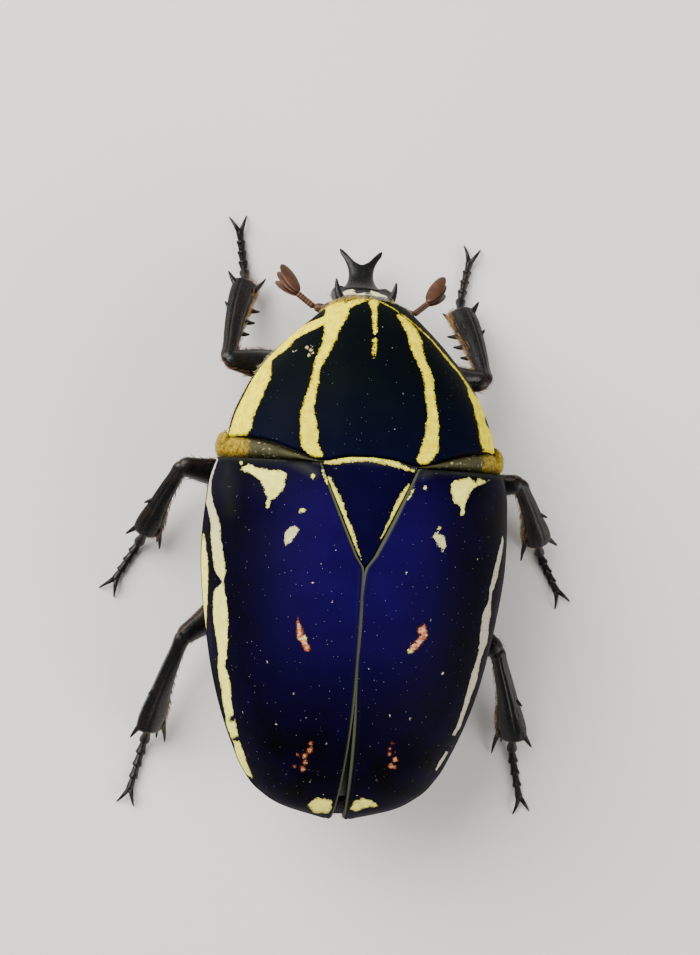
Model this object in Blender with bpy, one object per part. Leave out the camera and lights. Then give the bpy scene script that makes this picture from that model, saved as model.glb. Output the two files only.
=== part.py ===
"""A life-size flower chafer, Mecynorhina torquata, a horned male standing on his six feet, his head bowed.

Sizes and places are in millimetres, and add_mesh turns them into metres. The body has its own frame: x runs
to the beetle's left, y towards his tail, z up, and y is 0 where the wing cases begin. One empty carries all
parts and sets them over the origin, with the feet on the floor at z 0 and the head towards -y.
"""

import math

import bmesh
import bpy
import numpy as np
from mathutils import Vector

MM = 0.001
GAP = 0.3

# Driving dimensions
HALF_WIDTH = 15.0
ELYTRA_LENGTH = 35.3
ELYTRA_HEIGHT = 8.6
ELYTRA_START = 0.3
SHELL = 0.6
RIM_DEPTH = 0.8
RIM_BEVEL = 0.15
SUTURE_GAP = 0.15
TIP_SPREAD = 0.3
TAIL_START = 0.6
PRONOTUM_HALF_WIDTH = 13.1
PRONOTUM_HEIGHT = 8.0
PRONOTUM_FRONT = -16.5
PRONOTUM_CORNER = -15.0
THROAT_FRONT = -12.6
SCUTELLUM_HALF_WIDTH = 4.4
SCUTELLUM_TIP = 9.9
WAIST_LEAN = 1.5
WAIST_DEPTH = 8.0
THORAX_END = 12.9
ABDOMEN_END = 32.7
PYGIDIUM_END = 35.2
PYGIDIUM_HALF_WIDTH = 6.6
PYGIDIUM_LEAN = 0.9
BELLY_DEPTH = 9.0
BELLY_CLEARANCE = 5.0
FLOOR = -(BELLY_DEPTH + BELLY_CLEARANCE)
HEAD_TILT = math.radians(62)
HEAD_BACK = (0.0, -13.6, 0.3)
HEAD_LENGTH = 9.6
EYE_RADIUS = 1.45
EYE_PLACE = (3.1, 3.45, -0.25)
HORN_LENGTH = 4.4
HORN_LIFT = math.radians(38)
PRONG_LENGTH = 1.5

# Powers of the dome's arch over the wing cases: first of the way out, then of the height
DOME_POWERS = (2.3, 0.6)
# Bumps on each wing case as (height, x, y, spread)
BACK_BUMPS = ((0.5, 10.6, 3.6, 5.0), (0.55, 7.6, 28.3, 6.5))

# Curves as (share of the way, size) points, read by smooth_curve
ELYTRA_OUTLINE = (
    (0, 0.94), (0.05, 0.975), (0.12, 0.992), (0.2, 1.0), (0.28, 0.997), (0.4, 0.965), (0.5, 0.917),
    (0.62, 0.845), (0.73, 0.765), (0.8, 0.71), (0.87, 0.635), (0.93, 0.52), (0.97, 0.37), (1.0, 0.12),
)
ELYTRA_TOP = (
    (0, 0.93), (0.1, 0.975), (0.25, 1.0), (0.45, 0.985), (0.6, 0.92), (0.72, 0.8), (0.83, 0.6),
    (0.92, 0.34), (0.97, 0.13), (1.0, -0.06),
)
ELYTRA_RIM = ((0, 0.5), (0.1, 0.1), (0.3, -0.25), (0.7, -0.3), (0.9, -0.7), (1.0, -1.5))
PRONOTUM_OUTLINE = (
    (0, 0.335), (0.045, 0.4), (0.1, 0.46), (0.2, 0.565), (0.31, 0.66), (0.42, 0.745), (0.543, 0.82),
    (0.7, 0.895), (0.84, 0.955), (1, 1.0),
)
PRONOTUM_TOP = ((0, 0.1), (0.07, 0.26), (0.16, 0.42), (0.35, 0.65), (0.6, 0.85), (0.85, 0.965), (1, 0.99))
PRONOTUM_SIDE = ((0, -3.0), (0.3, -2.6), (0.7, -1.1), (1, 0.0))
# The pronotum's hind edge as (x, y): a shallow bay before the scutellum, then forward to the corners
PRONOTUM_HIND_EDGE = ((0, -0.45), (2.5, -0.3), (4.6, 0.0), (8, -0.65), (11, -1.25), (13.1, -1.8))
PROTHORAX_BOTTOM = ((0, -5.7), (0.35, -7.6), (0.7, -8.2), (1, -7.8))
THORAX_BOTTOM = ((0, -8.0), (0.3, -8.9), (0.7, -9.0), (1, -8.7))
ABDOMEN_BOTTOM = ((0, -8.6), (0.4, -8.2), (0.7, -7.4), (1, -6.2))
HORN_WIDTH = ((0, 2.1), (0.3, 1.5), (0.6, 1.25), (0.85, 1.45), (1, 1.7))
HORN_THICKNESS = ((0, 0.38), (0.4, 0.55), (1, 0.45))

# Sections of the head as (share of its length, half width, rise above its axis, depth below it)
HEAD_SECTIONS = (
    (0.0, 2.3, 0.8, 1.5), (0.1, 2.9, 1.35, 1.9), (0.22, 3.3, 1.8, 2.3), (0.36, 3.55, 1.95, 2.5),
    (0.5, 3.25, 1.7, 2.3), (0.6, 3.0, 1.3, 1.9), (0.68, 3.1, 1.0, 1.5), (0.82, 3.3, 0.7, 0.9),
    (0.93, 3.2, 0.6, 0.45), (1.0, 2.7, 0.62, 0.2),
)
CLYPEUS_START = 0.5
CLYPEUS_DISH = 0.45
# Places in the head's own frame, as head_point takes them: along the axis, out to the side, up
HEAD_TOOTH = ((5.65, 2.42, 0.45), (6.6, 3.1, 2.5))
HEAD_TOOTH_RADIUS = 0.55
PRONG_ROOT = (-0.6, 0.95, -0.35)
PRONG_RADIUS = 0.62
PRONG_TIP_RADIUS = 0.16
ANTENNA_ROOT = (5.2, -0.6)
ANTENNA_JOINTS = ((5.6, 5.2, -0.4), (7.4, 6.7, 0.1), (9.7, 8.2, 0.9))
CLUB_LEAF = (0.36, 1.9, 0.75)
CLUB_SPREAD = 0.22
CLUB_STEP = 0.3
PALP_ROOT = (6.0, 1.5, 0.3)
PALP_TIP = (8.7, 2.5, -2.5)
PALP_SECTIONS = ((0, 0.3, 0.3), (0.3, 0.38, 0.38), (0.42, 0.28, 0.28), (0.7, 0.42, 0.4), (1, 0.22, 0.22))

# Underside and side plates
UNDERSIDE_SHARE = 0.965
KNOB_PLACE = (0, 0.9, -8.6)
KNOB_RADII = (1.7, 2.4, 1.1)
SIDE_PLATE_INNER = 8.6
SIDE_PLATE_WIDTH = 5.2
# Rings of each belly plate as (share of the plate, swell)
BELLY_PLATES = 5
PLATE_RINGS = ((0.03, 0.972), (0.5, 0.992), (0.97, 1.0))
PYGIDIUM_RISE = 2.4
PYGIDIUM_DROP = 2.0

# Places of the six legs on the left side, and how far each right foot stands from its mirrored place
LEG_PLACES = {
    "front": {
        "root": (2.6, -8.2, -6.0), "hip": (3.5, -9.3, -10.4), "knee": (13.4, -10.0, -6.2),
        "ankle": (11.8, -18.6, -12.0), "toe": (12.8, -24.4), "right_shift": (-0.6, 1.3),
    },
    "middle": {
        "root": (4.2, 3.4, -6.5), "hip": (5.2, 2.6, -11.0), "knee": (17.4, 1.2, -6.2),
        "ankle": (20.6, 8.2, -11.6), "toe": (23.6, 13.6), "right_shift": (0.5, -1.4),
    },
    "hind": {
        "root": (5.0, 10.2, -6.5), "hip": (6.6, 11.4, -10.9), "knee": (16.2, 18.5, -6.8),
        "ankle": (19.0, 28.6, -11.6), "toe": (20.6, 35.6), "right_shift": (0.7, -0.9),
    },
}
# Sections as (share of the length, half of the wide way, half of the thick way)
HIP_SECTIONS = ((0, 1.8, 1.6), (0.55, 1.6, 1.45), (1, 1.15, 1.05))
FEMUR_SECTIONS = {
    "front": (
        (0, 1.2, 1.1), (0.2, 1.5, 1.3), (0.45, 1.85, 1.4), (0.7, 1.7, 1.25), (0.84, 1.35, 1.05),
        (1, 1.0, 0.85),
    ),
    "middle": (
        (0, 1.2, 1.1), (0.2, 1.5, 1.3), (0.45, 1.85, 1.4), (0.7, 1.65, 1.2), (0.85, 1.3, 1.0),
        (1, 1.0, 0.85),
    ),
    "hind": (
        (0, 1.2, 1.1), (0.2, 1.75, 1.45), (0.45, 2.2, 1.6), (0.7, 1.95, 1.35), (0.86, 1.45, 1.05),
        (1, 1.05, 0.9),
    ),
}
TIBIA_SECTIONS = {
    "front": ((0, 1.0, 0.85), (0.22, 0.85, 0.75), (0.5, 1.05, 0.75), (0.85, 1.3, 0.8), (1, 1.15, 0.7)),
    "middle": ((0, 1.0, 0.85), (0.22, 0.8, 0.75), (0.55, 1.0, 0.85), (0.9, 1.4, 1.05), (1, 1.2, 0.95)),
    "hind": ((0, 1.05, 0.9), (0.22, 0.85, 0.8), (0.55, 1.15, 0.95), (0.9, 1.65, 1.15), (1, 1.4, 1.05)),
}
# Teeth of each shin as (share of the length, length, half width at the root, lean towards the foot)
OUTER_TEETH = {
    "front": ((0.62, 0.9, 0.45, 0.6), (0.95, 1.5, 0.5, 0.9)),
    "middle": ((0.55, 1.1, 0.5, 0.6), (0.96, 1.4, 0.45, 1.4)),
    "hind": ((0.55, 1.1, 0.5, 0.7), (0.95, 1.6, 0.5, 1.6)),
}
# The male's fore shin also has a row of teeth along its inner edge
INNER_TEETH = {
    "front": ((0.4, 0.7, 0.4, 0.3), (0.56, 0.9, 0.42, 0.3), (0.72, 1.0, 0.42, 0.3)),
    "middle": (),
    "hind": (),
}
# How deep the roots of teeth and spurs lie in the shin
TOOTH_SINK = 0.45
SPUR_SINK = 0.9
SPUR_LENGTHS = {"front": (1.5,), "middle": (2.2, 1.8), "hind": (2.8, 2.2)}
SPUR_RADIUS = 0.36
SHIN_BOW = 0.25
TARSUS_JOINTS = 5
TARSUS_RADIUS = 0.58
TARSUS_WAIST = 0.36
# Share of the foot that comes down from the ankle, and the share of the way to the toe that it covers
FOOT_DESCENT = 0.22
FOOT_LANDING = 0.28
CLAW_LENGTH = 1.9
CLAW_RADIUS = 0.3
CLAW_SINK = 0.45
CLAW_SPREAD = 0.95
CLAW_ARCH = 0.5

# Colour, metallic value and roughness of each finish
FINISHES = {
    "blue_velvet": ((0.012, 0.006, 0.16), 0.5, 0.4),
    "dark_green_velvet": ((0.008, 0.02, 0.03), 0.4, 0.4),
    "black_cuticle": ((0.012, 0.012, 0.016), 0.1, 0.3),
    "amber_plate": ((0.45, 0.27, 0.06), 0.0, 0.5),
    "eye": ((0.03, 0.015, 0.01), 0.0, 0.15),
    "brown_feeler": ((0.09, 0.04, 0.02), 0.0, 0.35),
}

SIDES = {"left": 1.0, "right": -1.0}


def clear_scene():
    for old in list(bpy.data.objects):
        bpy.data.objects.remove(old)


def make_finish(name):
    colour, metallic, roughness = FINISHES[name]
    material = bpy.data.materials.new(name)
    material.use_nodes = True
    shader = material.node_tree.nodes["Principled BSDF"]
    shader.inputs["Base Color"].default_value = (*colour, 1.0)
    shader.inputs["Metallic"].default_value = metallic
    shader.inputs["Roughness"].default_value = roughness
    return material


def smooth_curve(points, at):
    """The size at each place of `at`, on a smooth curve through (place, size) points."""
    places, sizes = np.array(points, float).T
    slopes = np.gradient(sizes, places)
    at = np.asarray(at, float)
    left = np.clip(np.searchsorted(places, at) - 1, 0, len(places) - 2)
    step = places[left + 1] - places[left]
    t = np.clip((at - places[left]) / step, 0, 1)
    rise = sizes[left + 1] - sizes[left]
    start, end = slopes[left] * step, slopes[left + 1] * step
    return sizes[left] + t * (start + t * (3 * rise - 2 * start - end + t * (start + end - 2 * rise)))


def add_mesh(name, points, faces, finish):
    """One closed mesh object, its points given in millimetres, with its faces turned outwards."""
    mesh = bpy.data.meshes.new(name)
    mesh.from_pydata((np.asarray(points) * MM).tolist(), [], faces)
    work = bmesh.new()
    work.from_mesh(mesh)
    bmesh.ops.recalc_face_normals(work, faces=work.faces)
    work.to_mesh(mesh)
    work.free()
    obj = bpy.data.objects.new(name, mesh)
    bpy.context.scene.collection.objects.link(obj)
    mesh.materials.append(MATERIALS[finish])
    mesh.shade_smooth()
    mesh.set_sharp_from_angle(angle=math.radians(40))
    return obj


def loft(name, rings, finish):
    """A closed skin over rings of points, each joined to the next, both ends closed on their middles."""
    rings = np.asarray(rings, float)
    count, around, _ = rings.shape
    points = np.vstack([rings.reshape(-1, 3), rings[0].mean(0), rings[-1].mean(0)])
    first_middle, last_middle = count * around, count * around + 1
    faces = []
    for j in range(around):
        after = (j + 1) % around
        for i in range(count - 1):
            here, there = i * around, (i + 1) * around
            faces.append((here + j, here + after, there + after, there + j))
        last = (count - 1) * around
        faces.append((first_middle, after, j))
        faces.append((last_middle, last + j, last + after))
    return add_mesh(name, points, faces, finish)


def shell_loft(name, rings, finish):
    """A closed skin over the rings of a thin, curved plate.

    The first half of each ring runs over the plate and the second half back under it, so point j lies over
    point N-1-j. Both faces are split along like diagonals, and each end is closed by a ladder between them.
    """
    rings = np.asarray(rings, float)
    count, around, _ = rings.shape
    faces = []
    for j in range(around):
        after = (j + 1) % around
        over = j < around // 2
        for i in range(count - 1):
            a, b = i * around + j, i * around + after
            c, d = (i + 1) * around + after, (i + 1) * around + j
            faces += [(a, b, c), (a, c, d)] if over else [(a, b, d), (b, c, d)]
    for ring, turned in ((0, True), (count - 1, False)):
        for j in range(around // 2 - 1):
            rung = [j, j + 1, around - 2 - j, around - 1 - j]
            corners = [ring * around + k for k in (rung[::-1] if turned else rung)]
            faces += [(corners[0], corners[1], corners[2]), (corners[0], corners[2], corners[3])]
    return add_mesh(name, rings.reshape(-1, 3), faces, finish)


def ellipsoid(name, centre, radii, finish, segments=12, rings=8):
    """A round body from a sphere, stretched to three radii."""
    work = bmesh.new()
    bmesh.ops.create_uvsphere(work, u_segments=segments, v_segments=rings, radius=1.0)
    points = [Vector(centre) + Vector(a * b for a, b in zip(v.co, radii)) for v in work.verts]
    faces = [[v.index for v in face.verts] for face in work.faces]
    work.free()
    return add_mesh(name, points, faces, finish)


def keep_largest_surface(mesh):
    """Removes every closed surface but the one with the largest box."""
    work = bmesh.new()
    work.from_mesh(mesh)
    left, shells = set(work.verts), []
    while left:
        shell, edge = set(), [left.pop()]
        while edge:
            vert = edge.pop()
            shell.add(vert)
            near = {e.other_vert(vert) for e in vert.link_edges} & left
            left -= near
            edge.extend(near)
        shells.append(shell)
    shells.sort(key=lambda shell: np.ptp([v.co for v in shell], axis=0).prod())
    loose = [vert for shell in shells[:-1] for vert in shell]
    bmesh.ops.delete(work, geom=loose, context="VERTS")
    work.to_mesh(mesh)
    work.free()


def combine(obj, others, operation):
    """One applied Boolean of obj with a collection of closed pieces, which are then removed."""
    group = bpy.data.collections.new(obj.name + "_pieces")
    bpy.context.scene.collection.children.link(group)
    for other in others:
        bpy.context.scene.collection.objects.unlink(other)
        group.objects.link(other)
    boolean = obj.modifiers.new("join", "BOOLEAN")
    boolean.operation = operation
    boolean.operand_type = "COLLECTION"
    boolean.collection = group
    bpy.context.view_layer.update()
    joined = bpy.data.meshes.new_from_object(obj.evaluated_get(bpy.context.evaluated_depsgraph_get()))
    obj.modifiers.clear()
    obj.data = joined
    for other in others:
        bpy.data.objects.remove(other)
    bpy.data.collections.remove(group)
    keep_largest_surface(obj.data)
    obj.data.shade_smooth()
    obj.data.set_sharp_from_angle(angle=math.radians(40))
    return obj


def unit(vector):
    return np.asarray(vector, float) / np.linalg.norm(vector)


def across(direction, towards):
    """The unit vector square to direction that lies nearest to `towards`."""
    direction = unit(direction)
    return unit(towards - np.dot(towards, direction) * direction)


def slid_to_plane(ring, along, point, normal):
    """A ring's points slid along a limb until they lie in the plane through point."""
    return ring + np.outer(((point - ring) @ normal) / np.dot(along, normal), along)


def limb_rings(start, end, sections, wide, start_normal, end_normal, around=12, bow=0.0):
    """Oval rings from start to end. The end rings lie in the joints' planes, half a gap clear of them."""
    start, end = np.asarray(start, float), np.asarray(end, float)
    along = unit(end - start)
    side = across(along, wide)
    thick = np.cross(along, side)
    turn = np.linspace(0, 2 * math.pi, around, endpoint=False)
    rings = []
    for share, half_wide, half_thick in sections:
        middle = start + share * (end - start) + bow * math.sin(math.pi * share) * side
        oval = np.outer(np.cos(turn) * half_wide, side) + np.outer(np.sin(turn) * half_thick, thick)
        rings.append(middle + oval)
    rings[0] = slid_to_plane(rings[0], along, start + start_normal * GAP / 2, start_normal)
    rings[-1] = slid_to_plane(rings[-1], along, end - end_normal * GAP / 2, end_normal)
    return rings


def cone_rings(root, tip, radius, side, flat=1.0, tip_radius=0.06, around=6, curve=(0, 0, 0)):
    """Rings of a pointed tooth, spur or claw, which bends by `curve` half way along."""
    root, tip = np.asarray(root, float), np.asarray(tip, float)
    side = across(tip - root, np.asarray(side, float))
    thick = np.cross(unit(tip - root), side)
    turn = np.linspace(0, 2 * math.pi, around, endpoint=False)
    rings = []
    for share in (0.0, 0.35, 0.7, 1.0):
        size = radius + (tip_radius - radius) * share
        middle = root + share * (tip - root) + math.sin(math.pi * share) * np.asarray(curve, float)
        oval = np.outer(np.cos(turn) * size, side) + np.outer(np.sin(turn) * size * flat, thick)
        rings.append(middle + oval)
    return rings


def elytra_share(y):
    return (np.asarray(y, float) - ELYTRA_START) / (ELYTRA_LENGTH - ELYTRA_START)


def elytra_half_width(y):
    return HALF_WIDTH * smooth_curve(ELYTRA_OUTLINE, elytra_share(y))


def rim_height(y):
    return smooth_curve(ELYTRA_RIM, elytra_share(y))


def back_height(x, y, inset=0.0):
    """Height of the back over the wing cases: a flat dome, with a shoulder bump and a bump before the tip.

    An inset gives the same dome drawn in by that much at its sides, top and tip, its bumps fading with it.
    """
    tail = np.clip((elytra_share(y) - TAIL_START) / (1 - TAIL_START), 0, 1)
    rim = rim_height(y)
    top = ELYTRA_HEIGHT * smooth_curve(ELYTRA_TOP, elytra_share(y + inset * tail)) - inset
    top = np.maximum(top, rim - 0.3)
    out = np.clip(np.abs(x) / (elytra_half_width(y) - inset), 0, 1)
    across_power, height_power = DOME_POWERS
    dome = rim + (top - rim) * (1 - out**across_power) ** height_power
    bumps = sum(
        height * np.exp(-((np.abs(x) - at_x) ** 2 + (y - at_y) ** 2) / spread)
        for height, at_x, at_y, spread in BACK_BUMPS
    )
    return dome + bumps * (1 - out**6) * (1 - inset / (SHELL + GAP))


def waist_shift(z):
    """How far the joint between prothorax and thorax lies forward below the body's side edge."""
    return -WAIST_LEAN * np.clip(-np.asarray(z, float) / WAIST_DEPTH, 0, 1)


def pronotum_hind_edge(x):
    return smooth_curve(PRONOTUM_HIND_EDGE, np.abs(x))


def scutellum_half_width(y):
    share = np.clip(np.asarray(y, float) / SCUTELLUM_TIP, 0, 1)
    return SCUTELLUM_HALF_WIDTH * (1 - share**1.08)


def build_elytron(side_name):
    """A wing case: a domed shell whose inner edge follows the scutellum, then the suture."""
    side = SIDES[side_name]
    shares = 1 - (1 - np.linspace(0, 1, 24)) ** 1.25
    rings = []
    for y in ELYTRA_START + shares * (ELYTRA_LENGTH - ELYTRA_START):
        width = float(elytra_half_width(y))
        rim = float(rim_height(y))
        tail = max(0.0, (y / ELYTRA_LENGTH - TAIL_START) / (1 - TAIL_START))
        inner = max(float(scutellum_half_width(y)) + GAP + 0.1, SUTURE_GAP + TIP_SPREAD * tail**2)
        over_start = math.asin(min(inner / width, 0.9))
        under_start = math.asin(min(inner / (width - SHELL), 0.9))
        outside = width * np.sin(np.linspace(over_start, math.pi / 2, 12))
        inside = (width - SHELL) * np.sin(np.linspace(math.pi / 2, under_start, 12))
        above = np.column_stack([outside, back_height(outside, y)])
        edge = np.array([[width - RIM_BEVEL, rim - RIM_DEPTH], [width - SHELL, rim - RIM_DEPTH]])
        below = np.column_stack([inside, back_height(inside, y, SHELL)])
        section = np.vstack([above, edge, below])
        rings.append(np.column_stack([side * section[:, 0], np.full(len(section), y), section[:, 1]]))
    return shell_loft(f"elytron_{side_name}", rings, "blue_velvet")


def build_scutellum():
    """The long triangle between the wing cases, as thick as they are."""
    rings = []
    for share in np.linspace(0, 0.965, 9):
        turn = np.linspace(-1, 1, 7)
        reach = SCUTELLUM_TIP * share
        x = turn * scutellum_half_width(reach)
        y = reach + (1 - share) * (pronotum_hind_edge(x) + GAP)
        top = back_height(x, np.maximum(y, ELYTRA_START)) - 0.05
        upper = np.column_stack([x, y, top])
        under = np.column_stack([x, y, top - SHELL + 0.1])[::-1]
        rings.append(np.vstack([upper, under]))
    return shell_loft("scutellum", rings, "blue_velvet")


def half_ring(half_width, side_height, rise, powers, arc=19, flat=6):
    """x, z and share of the rise of an arch over (or under) a flat line between the two side edges."""
    turn = np.linspace(0, math.pi, arc)
    c, s = np.cos(turn), np.sin(turn).clip(0)
    arch_x = half_width * np.sign(c) * np.abs(c) ** powers[0]
    line_x = np.linspace(-half_width, half_width, flat + 2)[1:-1]
    x = np.concatenate([arch_x, line_x])
    z = np.concatenate([side_height + rise * s ** powers[1], np.full(flat, side_height)])
    return x, z, np.concatenate([s, np.zeros(flat)])


def prothorax_rings(upper, stations=15):
    """Rings from the slanting front edge, which leans over the head, to the hind edge at the wing cases."""
    rings = []
    for share in np.linspace(0, 1, stations) ** 1.15:
        half_width = PRONOTUM_HALF_WIDTH * float(smooth_curve(PRONOTUM_OUTLINE, share))
        side_height = float(smooth_curve(PRONOTUM_SIDE, share))
        top = PRONOTUM_HEIGHT * float(smooth_curve(PRONOTUM_TOP, share))
        bottom = float(smooth_curve(PROTHORAX_BOTTOM, share))
        if upper:
            x, z, rise = half_ring(half_width, side_height, top - side_height, (0.86, 0.86))
            front = PRONOTUM_CORNER + (PRONOTUM_FRONT - PRONOTUM_CORNER) * rise
        else:
            roof = side_height - GAP
            x, z, rise = half_ring(UNDERSIDE_SHARE * half_width, roof, bottom - roof, (1.0, 1.05))
            front = PRONOTUM_CORNER + (THROAT_FRONT - PRONOTUM_CORNER) * rise
        hind = pronotum_hind_edge(x) + (0.0 if upper else waist_shift(z))
        rings.append(np.column_stack([x, front + share * (hind - front), z]))
    return rings


def body_ring(turn, half_width, side_height, top, bottom, powers):
    """x and z of a ring with its own roundness above and below the side edge."""
    c, s = np.cos(turn), np.sin(turn)
    above, below = powers
    power = np.where(s >= 0, above, below)
    reach = np.where(s >= 0, top - side_height, side_height - bottom)
    x = half_width * np.sign(c) * np.abs(c) ** power
    z = side_height + reach * np.sign(s) * np.abs(s) ** power
    return x, z


def head_point(t, x, up):
    """A point at distance t along the bowed head's axis, x to its left and up towards its forehead."""
    axis = np.array([0, -math.cos(HEAD_TILT), -math.sin(HEAD_TILT)])
    brow = np.array([0, -math.sin(HEAD_TILT), math.cos(HEAD_TILT)])
    left = np.array([1.0, 0, 0])
    along = np.multiply.outer(t, axis) + np.multiply.outer(up, brow)
    return np.asarray(HEAD_BACK) + along + np.multiply.outer(x, left)


def head_size(share, column):
    """Half width (1), rise (2) or depth (3) of the head at a share of its length."""
    return float(smooth_curve([(row[0], row[column]) for row in HEAD_SECTIONS], share))


def head_rings(grow=0.0, around=24):
    """Rings of the head from the neck to the front edge of the dished clypeus, where the horn begins."""
    turn = np.linspace(0, 2 * math.pi, around, endpoint=False)
    rings = []
    for share, half_width, up, down in HEAD_SECTIONS:
        x, z = body_ring(turn, half_width + grow, 0.0, up + grow, -(down + grow), (0.8, 0.9))
        along = max(0.0, (share - CLYPEUS_START) / (1 - CLYPEUS_START))
        out = np.clip(np.abs(x) / half_width, 0, 1)
        dish = CLYPEUS_DISH * math.sin(math.pi * along) * (1 - out**4)
        z = np.where(np.sin(turn) > 0.05, z - (0 if grow else dish), z)
        rings.append(head_point(share * HEAD_LENGTH + grow * (2 * share - 1), x, z))
    return rings


def eye_centre(side):
    t, x, up = EYE_PLACE
    return head_point(t, side * x, up)


def eye_hollows():
    radii = (EYE_RADIUS + GAP,) * 3
    return [ellipsoid("hollow", eye_centre(side), radii, "eye", 14, 10) for side in SIDES.values()]


def build_head():
    """The head, with a socket for each eye and a small tooth on each side in front of it."""
    head = loft("head", head_rings(), "black_cuticle")
    teeth = []
    for side in SIDES.values():
        root, tip = (head_point(t, side * x, up) for t, x, up in HEAD_TOOTH)
        cone = cone_rings(root, tip, HEAD_TOOTH_RADIUS, (1, 0, 0), 0.8)
        teeth.append(loft("tooth", cone, "black_cuticle"))
    combine(head, teeth, "UNION")
    return combine(head, eye_hollows(), "DIFFERENCE")


def build_horn():
    """The flat horn: it leaves the clypeus in line, lifts forwards and widens into a fork of two prongs."""
    turn = np.linspace(0, 2 * math.pi, 14, endpoint=False)
    start_up = (head_size(1.0, 2) - head_size(1.0, 3)) / 2
    rings = []
    t, up = HEAD_LENGTH + GAP, start_up
    stations = np.linspace(0, 1, 9)
    for share, step in zip(stations, np.diff(stations, prepend=0)):
        lean = HORN_LIFT * min(1.0, 1.8 * share)
        t += step * HORN_LENGTH * math.cos(lean)
        up += step * HORN_LENGTH * math.sin(lean)
        wide = np.cos(turn) * float(smooth_curve(HORN_WIDTH, share))
        thick = np.sin(turn) * float(smooth_curve(HORN_THICKNESS, share))
        rings.append(head_point(t - thick * math.sin(lean), wide, up + thick * math.cos(lean)))
    horn = loft("horn", rings, "black_cuticle")
    prongs = []
    for side in SIDES.values():
        root = head_point(t + PRONG_ROOT[0], side * PRONG_ROOT[1], up + PRONG_ROOT[2])
        reach, spread, lift = np.array((0.7, 0.8, 0.5)) * PRONG_LENGTH
        tip = head_point(t + reach, side * (1.2 + spread), up + lift)
        cone = cone_rings(root, tip, PRONG_RADIUS, (1, 0, 0), 0.7, PRONG_TIP_RADIUS, 8)
        prongs.append(loft("prong", cone, "black_cuticle"))
    return combine(horn, prongs, "UNION")


def build_eyes():
    for name, side in SIDES.items():
        ellipsoid(f"eye_{name}", eye_centre(side), (EYE_RADIUS,) * 3, "eye", 14, 10)


def build_antennae():
    """Each feeler: a thick first joint, a thin bent stalk, and a club of three leaves."""
    for name, side in SIDES.items():
        root_t, root_up = ANTENNA_ROOT
        root = head_point(root_t, side * (head_size(root_t / HEAD_LENGTH, 1) + GAP), root_up)
        elbow, neck, tip = (head_point(t, side * x, up) for t, x, up in ANTENNA_JOINTS)
        first, second, third = elbow - root, neck - elbow, tip - neck
        brow = head_point(0, 0, 1) - head_point(0, 0, 0)
        bend, neck_bend = unit(unit(first) + unit(second)), unit(unit(second) + unit(third))
        turn = np.linspace(0, 2 * math.pi, 8, endpoint=False)
        stalk = []
        for point, normal, radius in (
            (root, unit(first), 0.3), (root + 0.3 * first, unit(first), 0.42),
            (root + 0.75 * first, unit(first), 0.45), (elbow, bend, 0.34),
            (elbow + 0.5 * second, unit(second), 0.28), (neck, neck_bend, 0.34),
            (neck + 0.25 * third, unit(third), 0.3),
        ):
            wide = across(normal, brow)
            thick = np.cross(normal, wide)
            stalk.append(point + radius * (np.outer(np.cos(turn), wide) + np.outer(np.sin(turn), thick)))
        feeler = loft(f"antenna_{name}", stalk, "brown_feeler")
        leaves = []
        for step in (-1, 0, 1):
            leaf = ellipsoid("leaf", (0, 0, 0), CLUB_LEAF, "brown_feeler", 8, 8)
            turned = np.array([v.co / MM for v in leaf.data.vertices])
            spread = across(third, brow)
            long_way = unit(third + step * CLUB_SPREAD * np.linalg.norm(third) * spread)
            flat_way = across(long_way, spread)
            middle = neck + 0.1 * third + (CLUB_LEAF[1] - 0.15) * long_way + step * CLUB_STEP * flat_way
            placed = (
                middle + np.outer(turned[:, 0], flat_way) + np.outer(turned[:, 1], long_way)
                + np.outer(turned[:, 2], np.cross(flat_way, long_way))
            )
            leaf.data.vertices.foreach_set("co", (placed * MM).ravel())
            leaves.append(leaf)
        combine(feeler, leaves, "UNION")


def build_palps():
    """The two jointed palps that hang below the mouth."""
    for name, side in SIDES.items():
        root_t, root_x, drop = PALP_ROOT
        root = head_point(root_t, side * root_x, -(head_size(root_t / HEAD_LENGTH, 3) + GAP + drop))
        tip_t, tip_x, tip_up = PALP_TIP
        tip = head_point(tip_t, side * tip_x, tip_up)
        along = unit(tip - root)
        rings = limb_rings(root, tip, PALP_SECTIONS, (0, 0, 1), along, along, 8)
        loft(f"palp_{name}", rings, "brown_feeler")


def foot_axes(place, side):
    """The leg's joints on one side: root, hip, knee, ankle and toe, the right foot a little out of step."""
    shift = np.array([*place["right_shift"], 0.0]) if side < 0 else np.zeros(3)
    points = {name: np.array(place[name], float) for name in ("root", "hip", "knee", "ankle")}
    points["toe"] = np.array([*place["toe"], FLOOR + 0.82 * TARSUS_RADIUS])
    points["knee"] += 0.3 * shift
    points["ankle"] += shift
    points["toe"] += shift
    return {name: point * (side, 1, 1) for name, point in points.items()}


def hip(place, side, name="hip", grow=0.0):
    """The coxa, a short cone from inside the body to the hip joint. Grown, it is its socket's cutter."""
    at = foot_axes(place, side)
    stub, thigh = unit(at["hip"] - at["root"]), unit(at["knee"] - at["hip"])
    sections = [(share, wide + grow, thick + grow) for share, wide, thick in HIP_SECTIONS]
    rings = limb_rings(at["root"] - stub * grow, at["hip"], sections, thigh, stub, unit(stub + thigh))
    return loft(name, rings, "black_cuticle")


def hip_sockets(leg_names):
    return [hip(LEG_PLACES[leg], side, grow=GAP) for leg in leg_names for side in SIDES.values()]


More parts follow.
